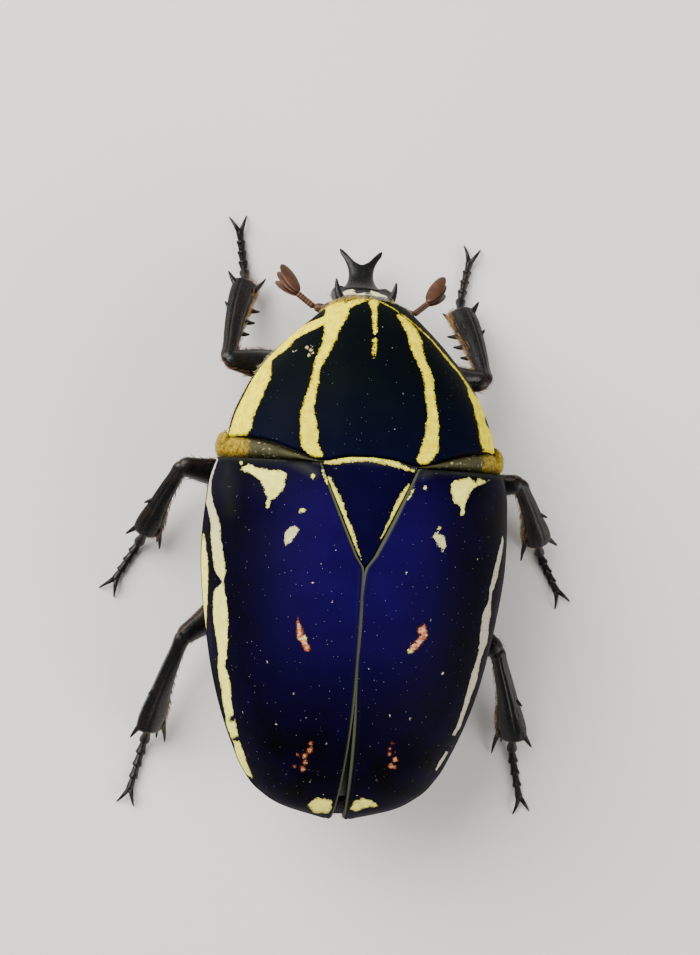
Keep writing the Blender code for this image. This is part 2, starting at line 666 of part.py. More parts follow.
def build_prothorax():
    """The pronotum and the underside that closes it, both hollowed for the neck and the eyes' backs."""
    shield = loft("pronotum", prothorax_rings(upper=True), "dark_green_velvet")
    underside = loft("prothorax_underside", prothorax_rings(upper=False), "black_cuticle")
    for piece, sockets in ((shield, []), (underside, hip_sockets(("front",)))):
        neck = loft("neck", head_rings(grow=GAP), "black_cuticle")
        combine(piece, [neck] + eye_hollows() + sockets, "DIFFERENCE")


def build_mesepimera():
    """The wedge of side plate that shows at each shoulder, between the pronotum and the wing case."""
    turn = np.linspace(0, 2 * math.pi, 10, endpoint=False)
    for name, side in SIDES.items():
        rings = []
        for share in np.linspace(0, 1, 6):
            x = SIDE_PLATE_INNER + share * SIDE_PLATE_WIDTH
            beyond = max(0.0, x - PRONOTUM_HALF_WIDTH)
            front = float(pronotum_hind_edge(x - beyond)) + GAP + 0.9 * beyond
            back = ELYTRA_START - GAP
            top = float(back_height(np.array(min(x, 13.2)), ELYTRA_START)) - 0.4 - 1.2 * share**3
            low = min(top - 1.2, -0.4 - 2.6 * share)
            y = (front + back) / 2 + np.cos(turn) * (back - front) / 2
            z = (top + low) / 2 + np.sin(turn) * (top - low) / 2
            rings.append(np.column_stack([np.full(10, side * x), y, z]))
        loft(f"mesepimeron_{name}", rings, "amber_plate")


def trunk_ring(y, bottom, swell=1.0):
    """x and z round the trunk under the wing cases: a roof that fits the shells, and a round belly."""
    turn = np.linspace(0, 2 * math.pi, 36, endpoint=False)
    c, s = np.cos(turn), np.sin(turn)
    inset = SHELL + GAP
    half_width = float(elytra_half_width(y)) - inset
    rim = float(rim_height(y))
    x = half_width * c * np.where(s < -0.01, swell, 1.0)
    roof = back_height(x, y, inset)
    belly = rim - (rim - bottom) * np.abs(s) ** 1.1 * swell
    return x, np.where(s < -0.01, belly, roof)


def build_thorax_underside():
    """Middle and hind thorax under the wing cases: four hip sockets and the knob between the middle pair."""
    rings = []
    for share in np.linspace(0, 1, 9):
        y = ELYTRA_START + share * (THORAX_END - ELYTRA_START)
        x, z = trunk_ring(y, float(smooth_curve(THORAX_BOTTOM, share)))
        rings.append(np.column_stack([x, y + (1 - share) * waist_shift(z), z]))
    thorax = loft("thorax_underside", rings, "black_cuticle")
    knob = ellipsoid("knob", KNOB_PLACE, KNOB_RADII, "black_cuticle")
    combine(thorax, [knob], "UNION")
    return combine(thorax, hip_sockets(("middle", "hind")), "DIFFERENCE")


def build_abdomen():
    """The belly in five overlapping plates, each a little wider at its hind edge."""
    start = THORAX_END + GAP
    edges = np.linspace(0, 1, BELLY_PLATES + 1)
    rings = []
    for first, last in zip(edges[:-1], edges[1:]):
        for part, swell in PLATE_RINGS:
            share = first + part * (last - first)
            y = start + share * (ABDOMEN_END - start)
            x, z = trunk_ring(y, float(smooth_curve(ABDOMEN_BOTTOM, share)), swell)
            rings.append(np.column_stack([x, np.full_like(x, y), z]))
    return loft("abdomen", rings, "black_cuticle")


def build_pygidium():
    """The last back plate, a bulging triangle under the tips of the wing cases."""
    turn = np.linspace(0, 2 * math.pi, 20, endpoint=False)
    start = ABDOMEN_END + GAP
    rings = []
    for share in (0.0, 0.4, 0.7, 0.9, 1.0):
        round_off = math.sqrt(1 - (0.96 * share) ** 2)
        roof = float(rim_height(ELYTRA_LENGTH)) - RIM_DEPTH - GAP
        middle = roof - PYGIDIUM_RISE
        x = PYGIDIUM_HALF_WIDTH * round_off * np.cos(turn)
        up = np.sin(turn) * round_off
        z = middle + up * np.where(up > 0, PYGIDIUM_RISE, PYGIDIUM_DROP)
        y = start + share * (PYGIDIUM_END - start) + share * PYGIDIUM_LEAN * up
        rings.append(np.column_stack([x, y, z]))
    return loft("pygidium", rings, "blue_velvet")


def build_leg(leg, side_name):
    """Hip, thigh, shin with its teeth and spurs, and foot of five joints with two claws."""
    at = foot_axes(LEG_PLACES[leg], SIDES[side_name])
    hip(LEG_PLACES[leg], SIDES[side_name], f"{leg}_coxa_{side_name}")
    stub, thigh = unit(at["hip"] - at["root"]), unit(at["knee"] - at["hip"])
    shin, foot = unit(at["ankle"] - at["knee"]), unit(at["toe"] - at["ankle"])
    hip_plane, knee_plane, ankle_plane = unit(stub + thigh), unit(thigh + shin), unit(shin + foot)
    femur = limb_rings(at["hip"], at["knee"], FEMUR_SECTIONS[leg], -shin, hip_plane, knee_plane)
    loft(f"{leg}_femur_{side_name}", femur, "black_cuticle")
    sections = TIBIA_SECTIONS[leg]
    rings = limb_rings(at["knee"], at["ankle"], sections, thigh, knee_plane, ankle_plane, bow=SHIN_BOW)
    tibia = loft(f"{leg}_tibia_{side_name}", rings, "black_cuticle")
    combine(tibia, shin_teeth(leg, at, shin, thigh), "UNION")
    build_foot(leg, side_name, at, shin, ankle_plane)


def shin_teeth(leg, at, shin, thigh):
    """Teeth along the shin's outer and inner edges, and the spurs inside its end."""
    outer = across(shin, thigh)
    widths = [(share, wide) for share, wide, _ in TIBIA_SECTIONS[leg]]
    teeth = []
    for edge_way, row in ((outer, OUTER_TEETH[leg]), (-outer, INNER_TEETH[leg])):
        for share, length, radius, lean in row:
            edge = float(smooth_curve(widths, share)) - TOOTH_SINK
            root = at["knee"] + share * (at["ankle"] - at["knee"]) + edge_way * edge - shin * 0.3
            tip = root + unit(edge_way + lean * shin) * (length + TOOTH_SINK)
            teeth.append(loft("tooth", cone_rings(root, tip, radius, shin, 0.8), "black_cuticle"))
    for number, length in enumerate(SPUR_LENGTHS[leg]):
        beside = np.cross(shin, outer) * (0.45 - 0.9 * number)
        root = at["ankle"] - outer * (widths[-1][1] - TOOTH_SINK) - shin * (SPUR_SINK + 0.1) + beside
        tip = root + unit(shin - 0.45 * outer + 0.25 * beside) * (length + SPUR_SINK)
        tip[2] = max(tip[2], FLOOR + GAP)
        teeth.append(loft("spur", cone_rings(root, tip, SPUR_RADIUS, outer), "black_cuticle"))
    return teeth


def build_foot(leg, side_name, at, shin, ankle_plane):
    """Five flaring joints that come down to the floor and lie along it, then two hooked claws."""
    ankle, toe = at["ankle"], at["toe"]
    away = across((0, 0, 1), toe - ankle)
    sideways = np.cross(away, (0, 0, 1))
    down = ankle + FOOT_LANDING * (toe - ankle) * (1, 1, 0)
    down[2] = toe[2]
    turn = np.linspace(0, 2 * math.pi, 8, endpoint=False) + math.pi / 8
    rings = []
    for joint in range(TARSUS_JOINTS):
        full = TARSUS_RADIUS * (1 - 0.04 * joint)
        for part, radius in ((0.0, TARSUS_WAIST), (0.6, full), (0.82, full), (0.96, TARSUS_WAIST + 0.06)):
            share = (joint + part) / TARSUS_JOINTS
            if share < FOOT_DESCENT:
                middle = ankle + (share / FOOT_DESCENT) * (down - ankle)
                along = unit(down - ankle)
            else:
                run = (share - FOOT_DESCENT) / (1 - FOOT_DESCENT)
                middle = down + run * (toe - down)
                along = away
            side = across(along, sideways)
            rise = np.cross(along, side)
            oval = np.outer(np.cos(turn) * radius * 1.1, side) + np.outer(np.sin(turn) * radius, rise)
            rings.append(middle + oval)
    rings[0] = slid_to_plane(rings[0], shin, ankle + ankle_plane * GAP / 2, ankle_plane)
    foot = loft(f"{leg}_tarsus_{side_name}", rings, "black_cuticle")
    claws = []
    for spread in (-1, 1):
        root = toe - away * CLAW_SINK
        tip = toe + away * CLAW_LENGTH * 0.8 + sideways * spread * CLAW_SPREAD
        tip[2] = FLOOR + 0.08
        cone = cone_rings(root, tip, CLAW_RADIUS, sideways, 1.0, 0.07, 6, (0, 0, CLAW_ARCH))
        claws.append(loft("claw", cone, "black_cuticle"))
    combine(foot, claws, "UNION")
    flatten_on_floor(foot)


def flatten_on_floor(obj):
    """Presses what reaches below the floor flat against it."""
    points = np.array([v.co for v in obj.data.vertices])
    points[:, 2] = np.maximum(points[:, 2], FLOOR * MM)
    obj.data.vertices.foreach_set("co", points.ravel())
    obj.data.update()


def stand_over_origin():
    """Parents every part to one empty, and moves it so that the feet stand on z 0 over the origin."""
    parts = bpy.data.collections.new("mecynorhina_torquata")
    bpy.context.scene.collection.children.link(parts)
    meshes = [obj for obj in bpy.data.objects if obj.type == "MESH"]
    carrier = bpy.data.objects.new("beetle", None)
    parts.objects.link(carrier)
    for obj in meshes:
        bpy.context.scene.collection.objects.unlink(obj)
        parts.objects.link(obj)
        obj.parent = carrier
    points = np.vstack([[v.co for v in obj.data.vertices] for obj in meshes])
    low, high = points.min(0), points.max(0)
    carrier.location = (-(low[0] + high[0]) / 2, -(low[1] + high[1]) / 2, -low[2])


clear_scene()
MATERIALS = {name: make_finish(name) for name in FINISHES}
build_prothorax()
build_head()
build_horn()
build_eyes()
build_antennae()
build_palps()
build_scutellum()
for part_side in SIDES:
    build_elytron(part_side)
build_mesepimera()
build_thorax_underside()
build_abdomen()
build_pygidium()
for leg_name in LEG_PLACES:
    for part_side in SIDES:
        build_leg(leg_name, part_side)
stand_over_origin()
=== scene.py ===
"""The looks of a life-size flower beetle, Mecynorhina torquata: a horned male, standing, with his head
bowed.

Shapes are worked out in the beetle's own frame, in millimetres: x runs to his left, y towards his tail, z
up, and y is 0 where the wing cases begin. set_over_frame() brings a shape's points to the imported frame, in
metres.
"""

import math

import bpy
import numpy as np
from mathutils import Matrix, Vector


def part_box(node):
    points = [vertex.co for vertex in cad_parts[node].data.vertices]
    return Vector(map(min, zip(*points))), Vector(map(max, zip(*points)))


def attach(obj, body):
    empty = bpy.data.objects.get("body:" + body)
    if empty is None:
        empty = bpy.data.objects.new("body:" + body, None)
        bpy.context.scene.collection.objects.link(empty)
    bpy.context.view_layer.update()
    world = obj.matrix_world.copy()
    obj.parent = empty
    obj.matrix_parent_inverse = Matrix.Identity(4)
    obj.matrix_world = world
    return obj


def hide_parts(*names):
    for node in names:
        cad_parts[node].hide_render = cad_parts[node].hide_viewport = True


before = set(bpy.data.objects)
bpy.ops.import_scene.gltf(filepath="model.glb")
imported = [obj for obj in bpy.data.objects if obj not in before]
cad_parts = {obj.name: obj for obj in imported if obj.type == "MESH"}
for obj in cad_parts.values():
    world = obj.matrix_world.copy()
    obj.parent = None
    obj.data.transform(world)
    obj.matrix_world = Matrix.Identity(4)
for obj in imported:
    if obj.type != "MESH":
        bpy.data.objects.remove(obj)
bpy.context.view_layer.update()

# The camera looks down on the back, with the head up in the picture, as the photograph does. Its distance
# and its angle of view are assumed; its turn and place were then fitted to points measured on the
# photograph.
PHOTO_WIDTH, PHOTO_HEIGHT = 700, 955
CAMERA_FIELD = math.radians(30)
CAMERA_TURN = (-0.97, -6.86, 3.75)
CAMERA_OFFSET = np.array((1.02, -1.30, 177.27))
BELLY_CLEARANCE, BELLY_DEPTH = 5.0, 9.0
ELYTRA_START = 0.3

pronotum_low, pronotum_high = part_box("pronotum")
FRAME_SHIFT = np.array((
    (pronotum_low.x + pronotum_high.x) / 2 * 1000,
    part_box("elytron_left")[0].y * 1000 - ELYTRA_START,
    BELLY_CLEARANCE + BELLY_DEPTH,
))


def set_over_frame(points):
    """Points of the beetle's frame in millimetres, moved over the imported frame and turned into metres."""
    return (np.asarray(points, float) + FRAME_SHIFT) / 1000


def turned(axis, degrees):
    return np.array(Matrix.Rotation(math.radians(degrees), 3, axis))


turn_x, turn_y, turn_z = (turned(axis, degrees) for axis, degrees in zip("XYZ", CAMERA_TURN))
camera_rows = turn_z @ turn_y @ turn_x @ np.diag((-1.0, 1.0, -1.0))
focal = PHOTO_HEIGHT / 2 / math.tan(CAMERA_FIELD / 2)


def photo_places(points):
    """Where points of the beetle's frame fall in the photograph, in its pixels."""
    seen = np.asarray(points, float) @ camera_rows.T + CAMERA_OFFSET
    return np.stack([
        PHOTO_WIDTH / 2 + focal * seen[..., 0] / seen[..., 2],
        PHOTO_HEIGHT / 2 + focal * seen[..., 1] / seen[..., 2],
    ], axis=-1)


camera = bpy.data.objects.new("camera", bpy.data.cameras.new("camera"))
bpy.context.scene.collection.objects.link(camera)
right, down, forward = (Vector(row) for row in camera_rows)
camera.matrix_world = Matrix.Translation(set_over_frame(-camera_rows.T @ CAMERA_OFFSET)) @ Matrix(
    (right, -down, -forward)
).transposed().to_4x4()
camera.data.sensor_fit = "VERTICAL"
camera.data.angle = CAMERA_FIELD
camera.data.clip_start = 0.005
bpy.context.scene.camera = camera


# The pronotum is the shield over the front of the body: one hard, velvety, black-green plate, bent down at
# the sides, with yellow powdery stripes. It is a shell of chitin with a narrow bead round its edge.
PRONOTUM_HALF_WIDTH, PRONOTUM_HEIGHT = 13.1, 8.0
PRONOTUM_FRONT, PRONOTUM_CORNER = -16.5, -15.0
# Outline and top are shares of half width and height, and the side edge is in millimetres, at shares of the
# way back. The hind edge is y at x.
PRONOTUM_OUTLINE = (
    (0, 0.335), (0.045, 0.405), (0.1, 0.474), (0.2, 0.588), (0.31, 0.69), (0.42, 0.776), (0.543, 0.851),
    (0.7, 0.926), (0.84, 0.982), (1, 1.018),
)
PRONOTUM_TOP = ((0, 0.1), (0.07, 0.26), (0.16, 0.42), (0.35, 0.65), (0.6, 0.85), (0.85, 0.965), (1, 0.99))
PRONOTUM_SIDE = ((0, -3.0), (0.3, -2.6), (0.7, -1.1), (1, 0.0))
PRONOTUM_HIND_EDGE = (
    (0, -0.66), (2.5, -0.48), (4.1, -0.12), (5.0, -0.15), (6.2, -0.5), (7.5, -0.95), (9.5, -1.6), (11, -1.9),
    (12.3, -2.0), (13.1, -1.9), (13.4, -1.8),
)
PRONOTUM_SHELL = 0.55

# Marks measured on the photograph, in its pixels. A stroke is (u, v, half width) along its middle.
DISC_STRIPE_LEFT = (
    (337, 311, 12), (332.5, 324.5, 8.8), (330.4, 336, 6.8), (326.6, 347.5, 5.3), (320, 359, 4.8),
    (316.2, 370, 3.7), (314.7, 382, 3.9), (311.6, 393, 4.8), (308.6, 405, 5.9), (307.8, 414, 7.4),
    (309, 433, 9.2), (309.8, 444, 8.6), (314, 450.5, 6.4), (319.5, 454, 3.4),
)
DISC_STRIPE_RIGHT = (
    (398.5, 315.5, 1.5), (405, 322, 3.2), (412, 333, 5.6), (416, 343, 6.6), (418, 352, 5.2), (422, 363, 4.3),
    (426.5, 372, 4.4), (428.5, 380, 4.8), (430.5, 398, 4.6), (433, 415, 5.5), (432, 434, 6.8),
    (430, 449, 8.6), (424, 459, 7),
)
MEDIAN_LINE = ((374, 303.5, 4.8), (374.5, 309, 2.6), (375, 333, 2.1))
MEDIAN_LINE_END = ((375, 339.5, 2), (374.3, 352, 2), (374, 357, 1.3))
# Marks that are measured in millimetres count about this many pixels for each
PIXELS_PER_MM = 9
# The thin yellow lines along the front edge and the side edges: how wide, and where the side ones run. On
# the right the side line also stands for a painted highlight along the rim. The wide side stripes end at
# SIDE_STRIPE_END.
FRONT_LINE_LEFT, FRONT_LINE_RIGHT, EDGE_LINE_WIDTH = 0.28, 0.2, 0.24
EDGE_LINE_START, EDGE_LINE_END, SIDE_STRIPE_END = 0.03, 0.8, 0.9
# Each side stripe's inner and outer distances from the side edge, in millimetres, at shares of the way back
SIDE_STRIPE_INNER_LEFT = (
    (-0.08, 6.9), (0, 6.6), (0.116, 6.1), (0.156, 5.5), (0.2, 4.7), (0.289, 4.6), (0.362, 3.8), (0.412, 4.5),
    (0.464, 5.15), (0.565, 5.5), (0.66, 5.4), (0.75, 5.3), (0.82, 5.25), (0.86, 4.9), (0.93, 3.8),
)
SIDE_STRIPE_OUTER_LEFT = (
    (-0.08, 5.2), (0.046, 4.8), (0.085, 3.4), (0.13, 1.3), (0.173, 0.7), (0.273, 0.87), (0.352, 0.92),
    (0.452, 1.13), (0.559, 1.5), (0.661, 1.35), (0.764, 1.05), (0.832, 0.6), (1, 0.4),
)
SIDE_STRIPE_INNER_RIGHT = (
    (-0.08, 6.6), (0.168, 5.58), (0.256, 5.6), (0.321, 5.45), (0.37, 5.0), (0.452, 4.84), (0.517, 5.45),
    (0.565, 5.3), (0.639, 5.55), (0.693, 5.6), (0.756, 5.75), (0.8, 5.72), (0.875, 5.03), (0.93, 3.8),
)
SIDE_STRIPE_OUTER_RIGHT = (
    (-0.08, 6.4), (0.133, 5.3), (0.247, 5.1), (0.303, 4.8), (0.374, 4.4), (0.439, 4.0), (0.49, 3.6),
    (0.53, 2.2), (0.6, 1.2), (0.645, 3.3), (0.7, 3.3), (0.735, 1.6), (0.79, 1.0), (1, 0.4),
)
PRONOTUM_SPECKS = (
    (307, 347, 1.2), (311.5, 346, 1.0), (311, 350, 1.0), (313, 353, 0.8), (308.5, 355, 1.2),
    (293.5, 351.5, 0.7), (296, 350.5, 0.5),
)


def smooth_curve(points, at):
    """The size at each place of `at`, on a smooth curve through (place, size) points."""
    places, sizes = np.array(points, float).T
    slopes = np.gradient(sizes, places)
    at = np.asarray(at, float)
    left = np.clip(np.searchsorted(places, at) - 1, 0, len(places) - 2)
    step = places[left + 1] - places[left]
    t = clamp((at - places[left]) / step)
    rise = sizes[left + 1] - sizes[left]
    start, end = slopes[left] * step, slopes[left + 1] * step
    return sizes[left] + t * (start + t * (3 * rise - 2 * start - end + t * (start + end - 2 * rise)))


def stroke_depth(places, *strokes):
    """How deep each photo place lies inside strokes, in pixels: the half width at the nearest point of a
    stroke's middle line, less the distance to that point. Outside it is negative."""
    best = np.full(places.shape[:-1], -1e3)
    for stroke in strokes:
        marks = np.array(stroke, float)
        if len(marks) == 1:
            marks = np.vstack([marks, marks + (0.01, 0, 0)])
        for a, b in zip(marks[:-1], marks[1:]):
            run = b[:2] - a[:2]
            t = clamp((places - a[:2]) @ run / (run @ run))
            away = np.linalg.norm(places - a[:2] - t[..., None] * run, axis=-1)
            best = np.maximum(best, a[2] + t * (b[2] - a[2]) - away)
    return best


def patch_depth(places, *outlines):
    """How deep each photo place lies inside closed outlines, in pixels: the distance to the nearest side,
    with a minus sign where a line from the place crosses the outline an even number of times."""
    best = np.full(places.shape[:-1], -1e3)
    for outline in outlines:
        corners = np.array(outline, float)
        near = np.full(places.shape[:-1], 1e3)
        inside = np.zeros(places.shape[:-1], bool)
        for a, b in zip(corners, np.roll(corners, -1, axis=0)):
            run = b - a
            t = clamp((places - a) @ run / (run @ run))
            near = np.minimum(near, np.linalg.norm(places - a - t[..., None] * run, axis=-1))
            if a[1] != b[1]:
                crosses = (a[1] > places[..., 1]) != (b[1] > places[..., 1])
                inside ^= crosses & (places[..., 0] < a[0] + (places[..., 1] - a[1]) * run[0] / run[1])
        best = np.maximum(best, np.where(inside, near, -near))
    return best


def clamp(values):
    return np.clip(values, 0, 1)


def bell(distance, width):
    """A bump one high: exp(-(distance / width)^2)."""
    return np.exp(-((distance / width) ** 2))


def powered(turn, power):
    """sign(turn) |turn|^power, which squares off a round section."""
    return np.sign(turn) * np.abs(turn) ** power


def full_turn(count):
    return np.linspace(0, 2 * math.pi, count, endpoint=False)[None]


def distance_along(rings):
    """How far each point lies along its ring from the ring's first one."""
    steps = np.linalg.norm(np.diff(rings, axis=1), axis=-1)
    return np.concatenate([np.zeros((len(rings), 1)), np.cumsum(steps, axis=1)], axis=1)


def ring_normals(rings):
    """Outward unit normals of a grid of closed rings: the cross product of the steps along and around."""
    along = np.gradient(rings, axis=0)
    around = np.roll(rings, -1, axis=1) - np.roll(rings, 1, axis=1)
    normals = np.cross(around, along)
    normals /= np.linalg.norm(normals, axis=-1, keepdims=True) + 1e-12
    return normals


def rounding(distance, radius):
    """How far an edge sinks at a distance from its end, for a round edge of the radius."""
    inside = np.clip(radius - distance, 0, radius)
    return radius - np.sqrt(radius**2 - inside**2)


def closed_skin(rings, shell=False):
    """Points and outward faces of a closed skin over a grid of rings. The ends close on their middles or,
    for a shell, by a ladder between each end ring's two halves."""
    rings = np.asarray(rings, float)
    count, around, _ = rings.shape
    cells = np.arange(count * around).reshape(count, around)
    beside = np.roll(cells, -1, axis=1)
    faces = [np.stack([cells[:-1], beside[:-1], beside[1:], cells[1:]], axis=-1).reshape(-1, 4)]
    points = rings.reshape(-1, 3)
    if shell:
        half = around // 2
        for ring, order in ((cells[0], -1), (cells[-1], 1)):
            over, under = ring[:half], ring[::-1][:half]
            faces.append(np.stack([over[:-1], over[1:], under[1:], under[:-1]], axis=-1)[:, ::order])
    else:
        middles = (len(points), len(points) + 1)
        points = np.vstack([points, rings[0].mean(0), rings[-1].mean(0)])
        faces.append(np.stack([cells[0], np.full(around, middles[0]), beside[0]], axis=-1))
        faces.append(np.stack([cells[-1], beside[-1], np.full(around, middles[1])], axis=-1))
    fans = [
        np.stack([f[:, 0], f[:, k], f[:, k + 1]], axis=-1) for f in faces for k in range(1, f.shape[1] - 1)
    ]
    corners = points[np.vstack(fans)]
    volume = np.einsum("ij,ij->i", corners[:, 0], np.cross(corners[:, 1], corners[:, 2])).sum()
    return points, [f if volume > 0 else f[:, ::-1] for f in faces]


def add_object(name, points, faces, finish):
    """A new object with smooth faces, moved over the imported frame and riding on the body."""
    mesh = bpy.data.meshes.new(name)
    mesh.from_pydata(set_over_frame(points).tolist(), [], faces)
    mesh.shade_smooth()
    mesh.materials.append(finish)
    piece = bpy.data.objects.new(name, mesh)
    bpy.context.scene.collection.objects.link(piece)
    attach(piece, "root")
    return piece


def add_piece(name, node, slot, grids, finish, shell=False, **attributes):
    """One piece of one or more closed skins, in place of a CAD node. Attributes are numbers for each grid
    point."""
    grids = grids if isinstance(grids, list) else [grids]
    points, faces, values = [], [], {key: [] for key in attributes}
    start = 0
    for number, rings in enumerate(grids):
        skin_points, skin_faces = closed_skin(rings, shell)
        points.append(skin_points)
        faces += [face for f in skin_faces for face in (f + start).tolist()]
        for key, given in attributes.items():
            grid = given[number] if isinstance(given, list) else given
            ends = [] if shell else [grid[0].mean(), grid[-1].mean()]
            values[key].append(np.append(grid.ravel(), ends))
        start += len(skin_points)
    piece = add_object(name, np.vstack(points), faces, finish)
    for key, numbers in values.items():
        layer = piece.data.attributes.new(key, "FLOAT", "POINT")
        layer.data.foreach_set("value", np.concatenate(numbers).astype(np.float32))
    if node:
        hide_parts(node)


def unit(vectors):
    return vectors / (np.linalg.norm(vectors, axis=-1, keepdims=True) + 1e-12)


def scatter_roots(rings, weight, count, seed):
    """Random places on a grid of rings, each as likely as weight times its cell's area; columns past the
    weight's get none. Returns their points, outward normals, the rings' way along, and their shares along
    and around as an unwrap of the skin."""
    rng = np.random.default_rng(seed)
    normals = ring_normals(rings)
    normals *= np.sign((normals * (rings - rings.reshape(-1, 3).mean(0))).sum(-1).mean())
    along = np.gradient(rings, axis=0)
    area = np.linalg.norm(np.cross(along, np.roll(rings, -1, axis=1) - rings), axis=-1)
    odds = np.zeros_like(area)
    odds[:, :weight.shape[1]] = area[:, :weight.shape[1]] * weight
    odds = odds[:-1].ravel()
    chosen = rng.choice(odds.size, count, p=odds / odds.sum())
    i, j = np.unravel_index(chosen, (len(rings) - 1, rings.shape[1]))
    a, b = rng.random((2, count, 1))
    after = (j + 1) % rings.shape[1]
    near = (1 - b) * rings[i, j] + b * rings[i, after]
    far = (1 - b) * rings[i + 1, j] + b * rings[i + 1, after]
    unwrap = np.stack([(i + a[:, 0]) / len(rings), (j + b[:, 0]) / rings.shape[1]], axis=-1)
    return (1 - a) * near + a * far, normals[i, j], along[i, j], unwrap


# How deep a tuft starts inside its skin, in millimetres, and a third of its patch on the unwrap
HAIR_SINK, PATCH_STEP = 0.08, 0.001


def grow_hair(
    name, rings, weight, count, seed, length, width, finish, lift=0.5, spread=0.3, comb=None, bend=1,
):
    """Thin tufts scattered over a skin, one object. Each is a three-sided spike that starts inside the skin;
    its middle is root + length * (s * way + lift * (s - 0.6 s^2) * normal), and its width shrinks to the
    tip. The way is the rings' own, or what comb makes of it, turned at random by spread with the seed
    `bend`. The UV map holds a patch 0.003 across for each tuft, at its root's place on the skin's unwrap."""
    roots, normals, ways, unwrap = scatter_roots(rings, weight, count, seed)
    ways = comb(ways, roots) if comb else ways
    rng = np.random.default_rng(bend)
    ways = unit(ways - (ways * normals).sum(-1, keepdims=True) * normals)
    sides = np.cross(ways, normals)
    ways = unit(ways + rng.normal(0, spread, (count, 1)) * sides)
    sides = np.cross(ways, normals)
    lengths = length * rng.uniform(0.6, 1.15, (count, 1, 1))
    s = np.array((0, 0.3, 0.65))[None, :, None]
    middles = roots[:, None] - HAIR_SINK * normals[:, None] + lengths * (
        s * ways[:, None] + lift * (s - 0.6 * s**2) * normals[:, None]
    )
    tips = roots + lengths[:, 0] * (ways + 0.4 * lift * normals)
    turn = np.radians((90, 210, 330))[None, None, :, None]
    corners = middles[:, :, None] + width * (1 - 0.7 * s)[..., None] * (
        np.cos(turn) * sides[:, None, None] + np.sin(turn) * normals[:, None, None]
    )
    points = np.concatenate([corners.reshape(count, 9, 3), tips[:, None]], axis=1)
    quads = [(r + k, r + (k + 1) % 3, r + 3 + (k + 1) % 3, r + 3 + k) for r in (0, 3) for k in range(3)]
    ends = [(2, 1, 0), *[(6 + k, 6 + (k + 1) % 3, 9) for k in range(3)]]
    offsets = np.arange(count)[:, None, None] * 10
    faces = []
    for shape in (quads, ends):
        faces += (offsets + np.array(shape)).reshape(-1, len(shape[0])).tolist()
    mesh = add_object(name, points.reshape(-1, 3), faces, finish).data
    patch = np.array([(k % 3, k // 3) for k in range(9)] + [(1, 3)]) * PATCH_STEP
    places = (unwrap[:, None] * 0.99 + patch[None]).reshape(-1, 2)
    corner_points = np.empty(len(mesh.loops), int)
    mesh.loops.foreach_get("vertex_index", corner_points)
    unwrap_layer = mesh.uv_layers.new(name="OFBake")
    unwrap_layer.data.foreach_set("uv", places[corner_points].astype(np.float32).ravel())


class Finish:
    """A material with its shader, and the object's own millimetres as the place `at` that its patterns
    read."""

    def __init__(self, name, roughness, specular=0.5, sheen=0.0):
        self.material = bpy.data.materials.new(name)
        self.material.use_nodes = True
        self.tree = self.material.node_tree
        self.shader = self.tree.nodes["Principled BSDF"].inputs
        self.feed(self.shader, {"Roughness": roughness, "Specular IOR Level": specular})
        self.feed(self.shader, {"Sheen Weight": sheen, "Sheen Roughness": 0.4})
        coordinates = self.node("TexCoord", {}, "Object")
        self.at = self.node("VectorMath", {0: coordinates, 3: 1000.0}, operation="SCALE")

    def feed(self, sockets, inputs):
        """Feeds sockets by number or name: a socket is linked, and a number or a linear colour is set."""
        for key, value in inputs.items():
            if isinstance(value, bpy.types.NodeSocket):
                self.tree.links.new(value, sockets[key])
            else:
                sockets[key].default_value = (*value, 1.0) if isinstance(value, tuple) else value

    def node(self, kind, inputs, output=0, **settings):
        """Adds a shader node, sets its settings, feeds its inputs and returns one output."""
        made = self.tree.nodes.new("ShaderNode" + kind)
        for key, value in settings.items():
            setattr(made, key, value)
        self.feed(made.inputs, inputs)
        return made.outputs[output]

    def noise(self, scale, detail=3.0, roughness=0.5):
        """Soft noise round 0.5 with `scale` cells in a millimetre."""
        inputs = {"Scale": scale, "Detail": detail, "Roughness": roughness, "Vector": self.at}
        return self.node("TexNoise", inputs, "Fac")

    def pores(self, scale, size):
        """1 in the middle of round spots, 0 between them, with about `scale` spots in a millimetre."""
        distance = self.node("TexVoronoi", {"Scale": scale, "Vector": self.at}, "Distance")
        return self.step_up(distance, 0.0, size, 1.0, 0.0)

    def attribute(self, name):
        return self.node("Attribute", {}, "Fac", attribute_name=name)

    def step_up(self, value, low, high, start=0.0, end=1.0, way="SMOOTHSTEP"):
        """start below low, end above high, and smooth between."""
        return self.node("MapRange", dict(enumerate((value, low, high, start, end))), interpolation_type=way)

    def maths(self, operation, *values):
        return self.node("Math", dict(enumerate(values)), operation=operation)

    def times(self, value, by):
        return self.maths("MULTIPLY", value, by)

    def added(self, value, by, base):
        """base + value * by."""
        return self.maths("MULTIPLY_ADD", value, by, base)

    def blend(self, share, first, second):
        """A colour between two, each a socket or a linear colour."""
        return self.node("Mix", {0: share, 6: first, 7: second}, 2, data_type="RGBA")

    def relief(self, height, depth):
        """Bump from a height of 0 to 1 that stands for `depth` millimetres."""
        normal = self.node("Bump", {"Distance": depth / 1000, "Height": height}, "Normal")
        self.feed(self.shader, {"Normal": normal})


